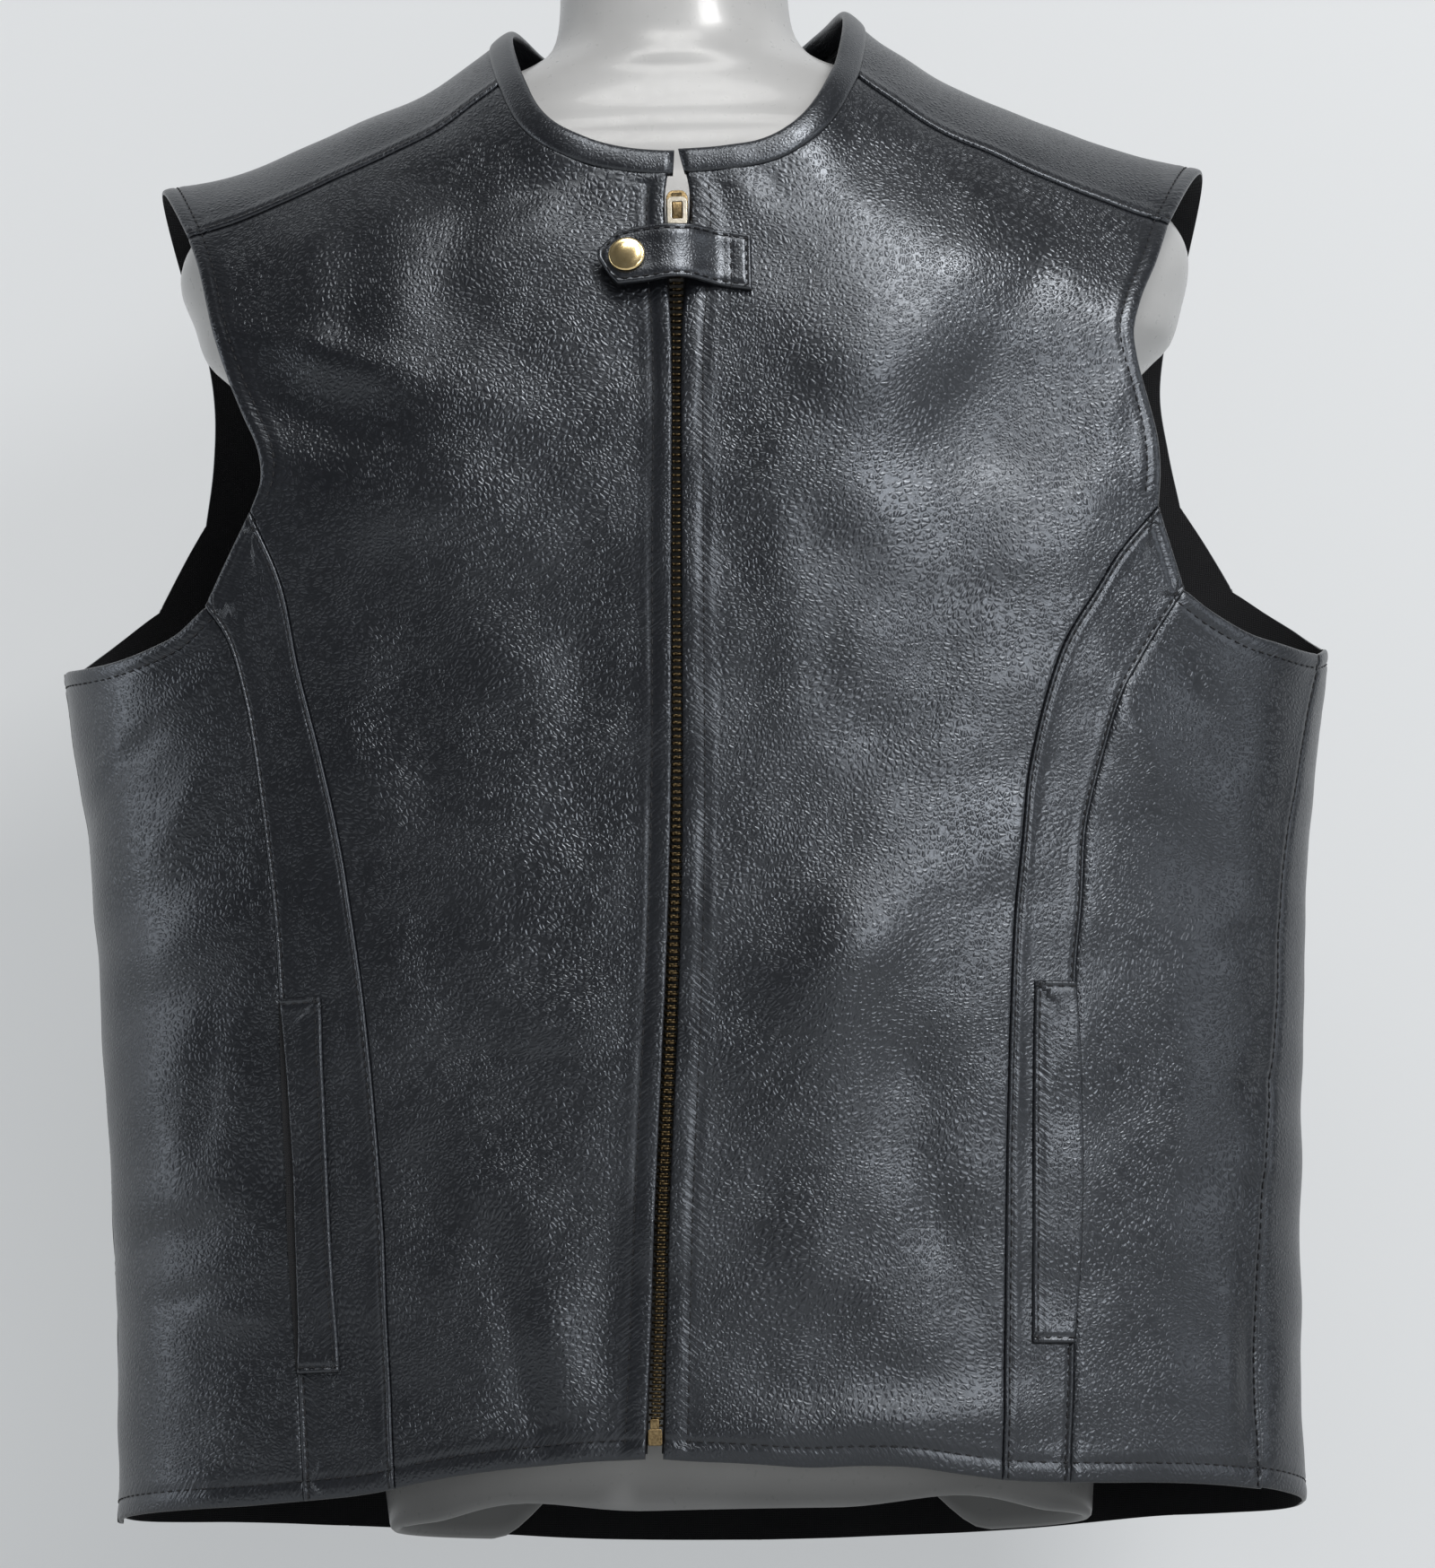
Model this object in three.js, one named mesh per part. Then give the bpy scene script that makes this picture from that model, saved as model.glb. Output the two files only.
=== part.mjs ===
// Black leather vest with a front zip and a snap tab, worn on a white torso form.
// Millimetres, +Z up, front towards -Y, wearer's right on the viewer's left (-X).
// The garment is cut like the real one: every panel is its own wall of leather, bounded by
// its seams, and lies on one shared surface, so that neighbours meet 0.3 mm apart.
import * as THREE from 'three';
import { mergeVertices } from 'three/addons/utils/BufferGeometryUtils.js';

// Driving dimensions
const LEATHER = 1.8;
const SEAM_GAP = 0.3;
const SECTION_POWER = 2.4;
const SHOULDER_ROLL = 130;
const ARC_RADIUS = 190;
const SEAM_ROWS = 20;
const UPPER_ROWS = 8;
const NECK_ROWS = 5;
const YOKE_ROWS = 8;
const PANEL_COLUMNS = 8;
const STRIP_COLUMNS = 3;
const SIDE_COLUMNS = 6;
const BACK_NECK_COLUMNS = 4;
const HEM_PLACES = 6;
const HEM_LEVEL = 6;
const YOKE_FRONT_DROP = { left: 38, right: 44 };
const YOKE_BACK_DROP = 30;
const TAPE_WIDTH = 11;
const TAPE_THICKNESS = 1;
const CHAIN_HALF_WIDTH = 2.6;
const WELT_WIDTH = 17;
const WELT_RISE = 1.5;
const TAB_THICKNESS = 2.4;
const CAP_RADIUS = 7.7;
const CAP_HEIGHT = 2.6;
const CAP_RIM = 0.7;
const CAP_BEVEL = 0.4;
const STUD_RADIUS = 4.5;
const STUD_FOOT = 1.1;
const LAYER_CLEARANCE = 0.15;
const TAPE_BOTTOM = 19;
const TAPE_STEPS = 30;
const CHAIN_STEPS = 40;
const CHAIN_FACE = { front: -0.4, back: -3.1 };
const RETAINER_STEPS = 2;
const FORM_SIDES = 32;
const FORM_WALL = 5;
const FORM_RECESS = 60;
const FORM_POWER = 2.2;
const FORM_CLEARANCE = 0.8;
const ORIGIN_SHIFT = { x: 0.06, y: 10.57 };

// Garment section at each height: half width, depth in front of and behind the shoulder line
const SECTIONS = [
  { z: 0, half: 248.5, front: 96, back: 90 },
  { z: 60, half: 248.5, front: 97, back: 88 },
  { z: 110, half: 250, front: 98.5, back: 87 },
  { z: 160, half: 252.5, front: 100, back: 87.5 },
  { z: 210, half: 255.5, front: 102, back: 89 },
  { z: 250, half: 257.5, front: 103, back: 90.5 },
  { z: 290, half: 260.5, front: 104, back: 92 },
  { z: 320, half: 264.5, front: 105.5, back: 94 },
  { z: 350, half: 269, front: 107, back: 96 },
  { z: 373, half: 271.5, front: 108.5, back: 97.5 },
  { z: 430, half: 274, front: 112, back: 100 },
  { z: 500, half: 274, front: 110.5, back: 99 },
  { z: 580, half: 274, front: 99, back: 96 },
  { z: 700, half: 274, front: 84, back: 88 },
];

// Height of the shoulder line at each distance from the centre
const SHOULDER_LINE = [
  { x: 0, z: 716 }, { x: 45, z: 697 }, { x: 60, z: 676 }, { x: 70, z: 661 }, { x: 80, z: 651 },
  { x: 92, z: 642 }, { x: 110, z: 629.5 }, { x: 130, z: 620.3 }, { x: 160, z: 607 },
  { x: 187, z: 596.5 }, { x: 207, z: 591 }, { x: 240, z: 585 },
];

// Lower edge of the body, front and back
const HEM_FRONT = [
  { x: -260, z: 8 }, { x: -246, z: 5.5 }, { x: -197, z: 4 }, { x: -168, z: 4.4 }, { x: -140, z: 6 },
  { x: -107, z: 11.5 }, { x: -70, z: 15 }, { x: -20, z: 16.5 }, { x: 39, z: 12 }, { x: 75, z: 12.2 },
  { x: 118, z: 6.5 }, { x: 148, z: 5.5 }, { x: 205, z: 6 }, { x: 260, z: 4 },
];
const HEM_BACK = [
  { x: -260, z: 8 }, { x: -207, z: 11.5 }, { x: -157, z: 11 }, { x: -124, z: 9.5 }, { x: -55, z: 5 },
  { x: 21, z: 3 }, { x: 66, z: 3.4 }, { x: 132, z: 4.6 }, { x: 160, z: 6 }, { x: 198, z: 7.4 },
  { x: 260, z: 4 },
];

// Zip line from hem to neck: its place and half the gap between the two fronts
const ZIP_LINE = [
  { z: 14, x: -23, gap: 3.6 }, { z: 23, x: -22.6, gap: 3.6 }, { z: 66, x: -20.4, gap: 3.1 },
  { z: 118, x: -18, gap: 3.1 }, { z: 210, x: -12.4, gap: 3.1 }, { z: 285, x: -9.2, gap: 3.1 },
  { z: 398, x: -7.2, gap: 3.1 }, { z: 490, x: -5.6, gap: 3.2 }, { z: 520, x: -5, gap: 4.6 },
  { z: 535, x: -4.7, gap: 5.1 }, { z: 552, x: -4.2, gap: 5.1 }, { z: 560, x: -4.3, gap: 3.8 },
];

// Seams beside the two narrow strips: distance from the centre at each height, hem first
const STRIP_CENTRE_SEAM = {
  left: [
    { z: 7, x: -128.8 }, { z: 66, x: -131 }, { z: 133, x: -133.5 }, { z: 210, x: -139.9 },
    { z: 273, x: -148.7 }, { z: 322, x: -159 }, { z: 351, x: -166 }, { z: 386, x: -172.6 },
    { z: 419, x: -186 },
  ],
  right: [
    { z: 6.5, x: 118.5 }, { z: 70, x: 121.3 }, { z: 158, x: 124.8 }, { z: 228, x: 128.9 }, { z: 273, x: 134 },
    { z: 303, x: 138 }, { z: 340, x: 148 }, { z: 359, x: 156 }, { z: 377, x: 167.6 }, { z: 395, x: 179 },
    { z: 415, x: 196 },
  ],
};
const STRIP_SIDE_SEAM = {
  left: [
    { z: 5, x: -166.6 }, { z: 55, x: -168.5 }, { z: 111, x: -171.8 }, { z: 183, x: -174.3 },
    { z: 231, x: -176.2 }, { z: 289, x: -181.8 }, { z: 336, x: -188.3 }, { z: 366, x: -196.5 },
    { z: 380.5, x: -205.6 },
  ],
  right: [
    { z: 6, x: 146.4 }, { z: 59, x: 149.5 }, { z: 213, x: 154.7 }, { z: 247, x: 158.3 }, { z: 277, x: 161 },
    { z: 304, x: 167.8 }, { z: 334, x: 177.4 }, { z: 348, x: 185.4 }, { z: 365, x: 195.8 },
    { z: 380, x: 205.5 },
  ],
};
const BACK_CENTRE_SEAM = [
  { z: 3, x: 21 }, { z: 150, x: 14 }, { z: 350, x: 6 }, { z: 500, x: 1 }, { z: 648, x: -2 },
];
const BACK_STRIP_CENTRE_SEAM = {
  left: [
    { z: 9, x: -124 }, { z: 120, x: -127 }, { z: 230, x: -140 }, { z: 330, x: -163 },
    { z: 400, x: -188 }, { z: 455, x: -217 },
  ],
  right: [
    { z: 6, x: 160 }, { z: 120, x: 155 }, { z: 230, x: 155 }, { z: 330, x: 168 }, { z: 400, x: 190 },
    { z: 455, x: 216 },
  ],
};
const BACK_STRIP_SIDE_SEAM = {
  left: [
    { z: 11, x: -157 }, { z: 120, x: -163 }, { z: 230, x: -177 }, { z: 330, x: -201 },
    { z: 380, x: -219 }, { z: 413, x: -237 },
  ],
  right: [
    { z: 7.4, x: 197.6 }, { z: 120, x: 191 }, { z: 230, x: 191 }, { z: 330, x: 206 }, { z: 380, x: 222 },
    { z: 413, x: 237 },
  ],
};
// Side seams, in degrees round from the wearer's left side towards the front
const SIDE_SEAM = {
  left: [{ z: 6, turn: 181 }, { z: 200, turn: 180 }, { z: 371, turn: 179 }],
  right: [
    { z: 5, turn: 26 }, { z: 117, turn: 24 }, { z: 208, turn: 20 }, { z: 254, turn: 19 },
    { z: 363, turn: 12 },
  ],
};

// Armhole edges from the yoke down to the side seam
const ARMHOLE_FRONT = {
  left: [
    { x: -215, z: 551 }, { x: -210, z: 535 }, { x: -205, z: 512 }, { x: -197, z: 481 }, { x: -190, z: 462 },
    { x: -183, z: 446 }, { x: -181.4, z: 432 }, { x: -186, z: 419 },
  ],
  right: [
    { x: 206, z: 547.5 }, { x: 199, z: 525.6 }, { x: 192, z: 508 }, { x: 188, z: 492 }, { x: 189, z: 481 },
    { x: 193, z: 462.6 }, { x: 196.4, z: 445 }, { x: 197, z: 430 }, { x: 196, z: 415 },
  ],
};
const ARMHOLE_LOWER_FRONT = {
  left: [
    { x: -205.6, z: 380.5 }, { x: -218.6, z: 370.6 }, { x: -228.4, z: 367 }, { x: -238.8, z: 364.5 },
    { x: -250, z: 363.5 }, { x: -262, z: 365 }, { x: -271.3, z: 371 },
  ],
  right: [
    { x: 205.5, z: 380 }, { x: 217, z: 372 }, { x: 233.4, z: 364.4 }, { x: 248, z: 362 },
    { x: 258, z: 361.5 },
    { x: 266, z: 363 },
  ],
};
const ARMHOLE_LOWER_BACK = {
  left: [
    { x: -271.3, z: 371 }, { x: -268, z: 379 }, { x: -261, z: 388 }, { x: -252, z: 398 },
    { x: -237, z: 413 },
  ],
  right: [{ x: 271, z: 372 }, { x: 268, z: 381 }, { x: 261, z: 390 }, { x: 251, z: 400 }, { x: 237, z: 413 }],
};
const ARMHOLE_BACK = {
  left: [
    { x: -217, z: 455 }, { x: -213.5, z: 483 }, { x: -212.5, z: 507 }, { x: -215, z: 527 },
    { x: -221, z: 548 },
    { x: -224, z: 557 },
  ],
  right: [
    { x: 216, z: 455 }, { x: 211.5, z: 480 }, { x: 208.5, z: 507 }, { x: 212, z: 532 }, { x: 217, z: 548 },
    { x: 220, z: 558 },
  ],
};

// Neck edge of the leather panels, below the binding
const NECK_FRONT = {
  left: [
    { x: -8.1, z: 560 }, { x: -20, z: 561 }, { x: -37, z: 564.5 }, { x: -51.5, z: 570 }, { x: -63, z: 578 },
    { x: -72, z: 590.5 }, { x: -80, z: 609 },
  ],
  right: [
    { x: -0.5, z: 560.5 }, { x: 20, z: 562 }, { x: 37, z: 565.5 }, { x: 52, z: 574.5 },
    { x: 62.6, z: 587 }, { x: 74, z: 605 },
  ],
};
const NECK_BACK = {
  left: [
    { x: -2, z: 661 }, { x: -20, z: 660.5 }, { x: -38, z: 657.5 }, { x: -50, z: 654 },
    { x: -58, z: 649 },
  ],
  right: [
    { x: -2, z: 661 }, { x: 16, z: 660.5 }, { x: 34, z: 657.5 }, { x: 46, z: 654 },
    { x: 54, z: 650 },
  ],
};
// Ends of the yoke where it rolls over the shoulder: half way at the neck and at the armhole
const YOKE_RIDGE = { left: { inner: -82, outer: -230 }, right: { inner: 76, outer: 225 } };

// Largest folds: place, half width, half length, lean from upright in degrees, height
const FOLDS = [
  { face: -1, x: -178, z: 505, half: 14, length: 42, lean: -8, rise: -3.0 },
  { face: -1, x: -160, z: 510, half: 12, length: 40, lean: -4, rise: 2.4 },
  { face: -1, x: -142, z: 512, half: 12, length: 42, lean: 2, rise: -3.2 },
  { face: -1, x: -122, z: 512, half: 13, length: 40, lean: 6, rise: 2.6 },
  { face: -1, x: -100, z: 515, half: 13, length: 44, lean: 10, rise: -2.6 },
  { face: -1, x: -56, z: 557, half: 8, length: 30, lean: 66, rise: -2.2 },
  { face: -1, x: -115, z: 440, half: 46, length: 42, lean: 30, rise: 4.5 },
  { face: -1, x: 130, z: 452, half: 34, length: 48, lean: 58, rise: -6.5 },
  { face: -1, x: 78, z: 478, half: 34, length: 46, lean: 10, rise: 3.6 },
  { face: -1, x: -76, z: 58, half: 9, length: 44, lean: -12, rise: -3.4 },
  { face: -1, x: -100, z: 62, half: 11, length: 46, lean: -8, rise: 3.0 },
  { face: -1, x: 62, z: 240, half: 36, length: 62, lean: 10, rise: 4.0 },
  { face: -1, x: 70, z: 30, half: 12, length: 60, lean: 88, rise: 3.0 },
  { face: -1, x: 205, z: 262, half: 24, length: 22, lean: 40, rise: -3.2 },
  { face: -1, x: -228, z: 262, half: 16, length: 34, lean: 80, rise: -3.0 },
  { face: -1, x: -232, z: 216, half: 14, length: 32, lean: 96, rise: -3.2 },
  { face: -1, x: -228, z: 118, half: 10, length: 36, lean: 92, rise: -2.8 },
  { face: 1, x: -90, z: 300, half: 34, length: 80, lean: 12, rise: 4.0 },
  { face: 1, x: 96, z: 260, half: 34, length: 90, lean: -10, rise: 4.2 },
  { face: 1, x: 0, z: 430, half: 60, length: 26, lean: 90, rise: -3.6 },
  { face: 1, x: -150, z: 470, half: 20, length: 50, lean: -24, rise: -3.4 },
  { face: 1, x: 150, z: 466, half: 20, length: 52, lean: 26, rise: -3.2 },
  { face: 1, x: 60, z: 90, half: 26, length: 70, lean: 6, rise: -3.0 },
];

// Snap tab: outline across the zip and how far its underside stands off the fronts
const TAB_OUTLINE = [
  { x: 26.5, top: 530, bottom: 504.4, lift: 0.3 }, { x: 19, top: 531.3, bottom: 505.8, lift: 0.3 },
  { x: 13, top: 532.2, bottom: 507, lift: 0.6 }, { x: 8, top: 532.7, bottom: 507.8, lift: 2.8 },
  { x: 2, top: 532.6, bottom: 508.2, lift: 6.4 }, { x: -4, top: 532, bottom: 508.2, lift: 8.2 },
  { x: -10, top: 532, bottom: 507.8, lift: 8.4 }, { x: -16, top: 531.8, bottom: 507, lift: 7.4 },
  { x: -22, top: 531.2, bottom: 506.4, lift: 6.85 }, { x: -29.5, top: 529.8, bottom: 506, lift: 6.2 },
  { x: -33.5, top: 526, bottom: 510.8, lift: 5.8 }, { x: -38.2, top: 521.4, bottom: 519, lift: 5.4 },
];
const SNAP_PLACE = { x: -25.6, z: 518 };

// Slider body and its pull, given along the zip
const SLIDER = { bottom: 535.5, top: 552.6, halfWidth: 4.3, behind: -3.4, proud: 2.0 };
const PULL = { hinge: 546.2, length: 25, halfWidth: 4, thickness: 1.5, clear: 0.5 };
const CHAIN_ENDS = { bottom: 30, top: 535.1 };
const RETAINER = { bottom: 22.5, top: 29.6, halfWidth: 2.6, depth: 3.6, proud: 0.3 };

// Torso form at each height: sideways centre, half width, depth in front and behind
const FORM_SECTIONS = [
  { z: 0, centre: 12, half: 147, front: 62, back: 52 },
  { z: 60, centre: 11, half: 152, front: 72, back: 70 },
  { z: 100, centre: 10, half: 150, front: 78, back: 76 },
  { z: 160, centre: 8, half: 142, front: 78, back: 74 },
  { z: 220, centre: 6, half: 137, front: 78, back: 70 },
  { z: 290, centre: 5, half: 143, front: 84, back: 74 },
  { z: 350, centre: 4, half: 154, front: 91, back: 80 },
  { z: 410, centre: 2, half: 166, front: 96, back: 84 },
  { z: 460, centre: 1, half: 178, front: 96, back: 85 },
  { z: 495, centre: 0, half: 194, front: 93, back: 83 },
  { z: 503, centre: -1, half: 202, front: 92, back: 82 },
  { z: 511, centre: -1, half: 210, front: 90, back: 81 },
  { z: 526, centre: -1, half: 215, front: 87, back: 80 },
  { z: 541, centre: -2, half: 219.5, front: 84, back: 78 },
  { z: 552, centre: -2, half: 219, front: 81, back: 76 },
  { z: 562, centre: -2, half: 214, front: 78, back: 74 },
  { z: 571, centre: -1, half: 205, front: 75, back: 72 },
  { z: 580, centre: 0, half: 195, front: 71, back: 70 },
  { z: 588, centre: 0, half: 184, front: 68, back: 68 },
  { z: 596, centre: 0, half: 173, front: 66, back: 66 },
  { z: 604, centre: 0, half: 160.5, front: 63, back: 64 },
  { z: 611, centre: 0, half: 143, front: 61, back: 62 },
  { z: 617, centre: 0, half: 129, front: 59, back: 61 },
  { z: 623, centre: -1, half: 107, front: 57, back: 60 },
  { z: 629, centre: -3, half: 82, front: 56, back: 59 },
  { z: 635, centre: -3.7, half: 67.5, front: 54, back: 57 },
  { z: 642, centre: -3.6, half: 58, front: 52, back: 54 },
  { z: 652, centre: -4.2, half: 52.5, front: 51, back: 52 },
  { z: 668, centre: -4.5, half: 50.2, front: 50, back: 50.5 },
  { z: 690, centre: -4.5, half: 50, front: 50, back: 50.5 },
  { z: 698, centre: -4.5, half: 47, front: 47, back: 47.5 },
  { z: 702, centre: -4.5, half: 40, front: 40, back: 40.5 },
];
const FORM_ARCH = 5;
const FORM_BACK_LIFT = 34;
const FORM_UNDER_YOKES = { bottom: 520, top: 650, inner: 72 };

const LOOKS = {
  leather: { color: 0x0b0c0f, roughness: 0.42, metalness: 0 },
  binding: { color: 0x08090b, roughness: 0.36, metalness: 0 },
  tape: { color: 0x0a0a0b, roughness: 0.9, metalness: 0 },
  antiqueBrass: { color: 0x6d5a38, roughness: 0.4, metalness: 1 },
  polishedBrass: { color: 0xd8c08a, roughness: 0.16, metalness: 1 },
  form: { color: 0xe6e2dc, roughness: 0.18, metalness: 0 },
};

const group = new THREE.Group();

// Value of one column of a table at a place, smoothed between its rows
function column(table, key, at, value) {
  const last = table.length - 1;
  const rising = table[last][key] > table[0][key] ? 1 : -1;
  if ((at - table[0][key]) * rising <= 0) {
    return table[0][value];
  }
  if ((at - table[last][key]) * rising >= 0) {
    return table[last][value];
  }
  let row = 0;
  while ((at - table[row + 1][key]) * rising > 0) {
    row += 1;
  }
  const before = table[Math.max(row - 1, 0)];
  const from = table[row];
  const to = table[row + 1];
  const after = table[Math.min(row + 2, last)];
  const span = to[key] - from[key];
  const t = (at - from[key]) / span;
  const slopeFrom = (to[value] - before[value]) / (to[key] - before[key]) * span;
  const slopeTo = (after[value] - from[value]) / (after[key] - from[key]) * span;
  const t2 = t * t;
  const t3 = t2 * t;
  return from[value] * (2 * t3 - 3 * t2 + 1) + to[value] * (3 * t2 - 2 * t3)
    + slopeFrom * (t3 - 2 * t2 + t) + slopeTo * (t3 - t2);
}

function signedPower(value, power) {
  return Math.sign(value) * Math.abs(value) ** power;
}

// Place on the section, in radians from the wearer's left side, positive round the front
function turnAt(x, z, face) {
  const reach = Math.min(Math.abs(x) / column(SECTIONS, 'z', z, 'half'), 1);
  const turn = Math.acos(Math.sign(x) * reach ** (SECTION_POWER / 2));
  return face < 0 ? turn : -turn;
}

// How far the shoulder roll lets the sheet stand off, from 0 at the shoulder line to 1 below it
function shoulderShare(x, z) {
  const down = (column(SHOULDER_LINE, 'x', Math.abs(x), 'z') - z) / SHOULDER_ROLL;
  const held = Math.min(Math.max(down, 0), 1);
  return Math.sqrt(1 - (1 - held) ** 2);
}

function foldRise(x, z, face) {
  let rise = 0;
  for (const fold of FOLDS) {
    if (fold.face * face > 0) {
      const lean = THREE.MathUtils.degToRad(fold.lean);
      const across = (x - fold.x) * Math.cos(lean) - (z - fold.z) * Math.sin(lean);
      const along = (x - fold.x) * Math.sin(lean) + (z - fold.z) * Math.cos(lean);
      rise += fold.rise * Math.exp(-((across / fold.half) ** 2) - (along / fold.length) ** 2);
    }
  }
  return rise;
}

// Unfolded outer surface of the garment
function plainPoint(turn, z) {
  const face = Math.sin(turn) >= 0 ? -1 : 1;
  const x = column(SECTIONS, 'z', z, 'half') * signedPower(Math.cos(turn), 2 / SECTION_POWER);
  const depth = column(SECTIONS, 'z', z, face < 0 ? 'front' : 'back');
  const y = face * depth * Math.abs(Math.sin(turn)) ** (2 / SECTION_POWER) * shoulderShare(x, z);
  return new THREE.Vector3(x, y, z);
}

function plainNormal(turn, z) {
  const step = 0.004;
  const side = plainPoint(turn + step, z).sub(plainPoint(turn - step, z));
  const up = plainPoint(turn, z + 1).sub(plainPoint(turn, z - 1));
  return up.cross(side).normalize();
}

// Outer surface with its folds, and the leather's normal there
function bodyPoint(turn, z) {
  const plain = plainPoint(turn, z);
  const face = Math.sin(turn) >= 0 ? -1 : 1;
  const nearSide = Math.min(Math.abs(Math.sin(turn)) / 0.35, 1);
  const rise = foldRise(plain.x, z, face) * nearSide;
  return plain.addScaledVector(plainNormal(turn, z), rise);
}

function bodyNormal(turn, z) {
  const step = 0.02;
  const side = bodyPoint(turn + step, z).sub(bodyPoint(turn - step, z));
  const up = bodyPoint(turn, z + 2).sub(bodyPoint(turn, z - 2));
  return up.cross(side).normalize();
}

// Point over the shoulder: roll 0 on the shoulder line, positive to the front
function yokePoint(x, roll) {
  const z = column(SHOULDER_LINE, 'x', Math.abs(x), 'z') - SHOULDER_ROLL * (1 - Math.cos(roll));
  const front = roll > 0;
  const depth = column(SECTIONS, 'z', z, front ? 'front' : 'back');
  const reach = Math.min(Math.abs(x) / column(SECTIONS, 'z', z, 'half'), 1);
  const share = (1 - reach ** SECTION_POWER) ** (1 / SECTION_POWER);
  return new THREE.Vector3(x, -depth * share * Math.sin(roll), z);
}

function yokeNormal(x, roll) {
  const step = 0.02;
  const across = yokePoint(x + 2, roll).sub(yokePoint(x - 2, roll));
  const over = yokePoint(x, roll + step).sub(yokePoint(x, roll - step));
  return over.cross(across).normalize();
}

function rollFor(drop) {
  return Math.acos(1 - drop / SHOULDER_ROLL);
}

// Boundary curves, each a smooth line through hand-set places, read by share of its length
function flatCurve(places) {
  const points = places.map((place) => new THREE.Vector3(place.turn * ARC_RADIUS, place.z, 0));
  const curve = new THREE.CatmullRomCurve3(points, false, 'centripetal');
  curve.arcLengthDivisions = 400;
  return (share) => {
    const point = curve.getPointAt(Math.min(Math.max(share, 0), 1));
    return { turn: point.x / ARC_RADIUS, z: point.y };
  };
}

function placesOn(table, face) {
  return table.map((row) => ({ turn: turnAt(row.x, row.z, face), z: row.z }));
}

function sideSeamPlaces(side) {
  return SIDE_SEAM[side].map((row) => ({ turn: THREE.MathUtils.degToRad(row.turn), z: row.z }));
}

// Two curves one after the other, the first taking the given share of the rows
function joined(first, second, share) {
  return (at) => (at <= share ? first(at / share) : second((at - share) / (1 - share)));
}

// Places between four boundary curves
function patch(bottom, top, left, right, rows, columns) {
  const c00 = bottom(0);
  const c10 = bottom(1);
  const c01 = top(0);
  const c11 = top(1);
  return rows.map((v) => columns.map((u) => {
    const place = {};
    for (const key of ['turn', 'z']) {
      const across = (1 - v) * bottom(u)[key] + v * top(u)[key];
      const along = (1 - u) * left(v)[key] + u * right(v)[key];
      const corners = (1 - u) * (1 - v) * c00[key] + u * (1 - v) * c10[key]
        + (1 - u) * v * c01[key] + u * v * c11[key];
      place[key] = across + along - corners;
    }
    return place;
  }));
}

function shares(count) {
  return Array.from({ length: count + 1 }, (_, index) => index / count);
}

// Direction in the cloth, square to one edge of a grid and pointing into it
function edgeInward(along, normal, towards) {
  const square = new THREE.Vector3().crossVectors(normal, along).normalize();
  return square.dot(towards) > 0 ? 1 : -1;
}

function squareTo(before, after, normal, sign) {
  const along = after.clone().sub(before);
  return new THREE.Vector3().crossVectors(normal, along).setLength(sign);
}

// Wall of cloth through a grid of outer points with their normals
function wall(grid, outside, inside, inset = SEAM_GAP / 2 + 0.02) {
  const rows = grid.length;
  const columns = grid[0].length;
  const at3 = (i, j) => grid[Math.min(Math.max(i, 0), rows - 1)][Math.min(Math.max(j, 0), columns - 1)].point;
  const middleRow = Math.floor(rows / 2);
  const middleColumn = Math.floor(columns / 2);
  const rowSign = (i, next) => {
    const along = at3(i, middleColumn + 1).clone().sub(at3(i, middleColumn - 1));
    const towards = at3(next, middleColumn).clone().sub(at3(i, middleColumn));
    return edgeInward(along, grid[i][middleColumn].normal, towards);
  };
  const columnSign = (j, next) => {
    const along = at3(middleRow + 1, j).clone().sub(at3(middleRow - 1, j));
    const towards = at3(middleRow, next).clone().sub(at3(middleRow, j));
    return edgeInward(along, grid[middleRow][j].normal, towards);
  };
  const signs = {
    bottom: rowSign(0, 1), top: rowSign(rows - 1, rows - 2),
    first: columnSign(0, 1), last: columnSign(columns - 1, columns - 2),
  };
  const moved = grid.map((row, i) => row.map((node, j) => {
    const point = node.point.clone();
    const rowEdge = i === 0 ? signs.bottom : i === rows - 1 ? signs.top : 0;
    const columnEdge = j === 0 ? signs.first : j === columns - 1 ? signs.last : 0;
    if (rowEdge !== 0) {
      point.addScaledVector(squareTo(at3(i, j - 1), at3(i, j + 1), node.normal, rowEdge), inset);
    }
    if (columnEdge !== 0) {
      point.addScaledVector(squareTo(at3(i - 1, j), at3(i + 1, j), node.normal, columnEdge), inset);
    }
    return { point, normal: node.normal };
  }));
  const positions = [];
  for (const offset of [outside, inside]) {
    for (const row of moved) {
      for (const node of row) {
        const point = node.point.clone().addScaledVector(node.normal, offset);
        positions.push(point.x, point.y, point.z);
      }
    }
  }
  const layer = rows * columns;
  const indices = [];
  const at = (i, j, side) => side * layer + i * columns + j;
  const quad = (a, b, c, d) => indices.push(a, b, c, a, c, d);
  for (let i = 0; i < rows - 1; i += 1) {
    for (let j = 0; j < columns - 1; j += 1) {
      quad(at(i, j, 0), at(i, j + 1, 0), at(i + 1, j + 1, 0), at(i + 1, j, 0));
      quad(at(i, j, 1), at(i + 1, j, 1), at(i + 1, j + 1, 1), at(i, j + 1, 1));
    }
  }
  for (let j = 0; j < columns - 1; j += 1) {
    quad(at(0, j, 1), at(0, j + 1, 1), at(0, j + 1, 0), at(0, j, 0));
    quad(at(rows - 1, j, 0), at(rows - 1, j + 1, 0), at(rows - 1, j + 1, 1), at(rows - 1, j, 1));
  }
  for (let i = 0; i < rows - 1; i += 1) {
    quad(at(i, 0, 0), at(i + 1, 0, 0), at(i + 1, 0, 1), at(i, 0, 1));
    quad(at(i, columns - 1, 1), at(i + 1, columns - 1, 1), at(i + 1, columns - 1, 0), at(i, columns - 1, 0));
  }
  return solid(positions, indices);
}

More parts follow.
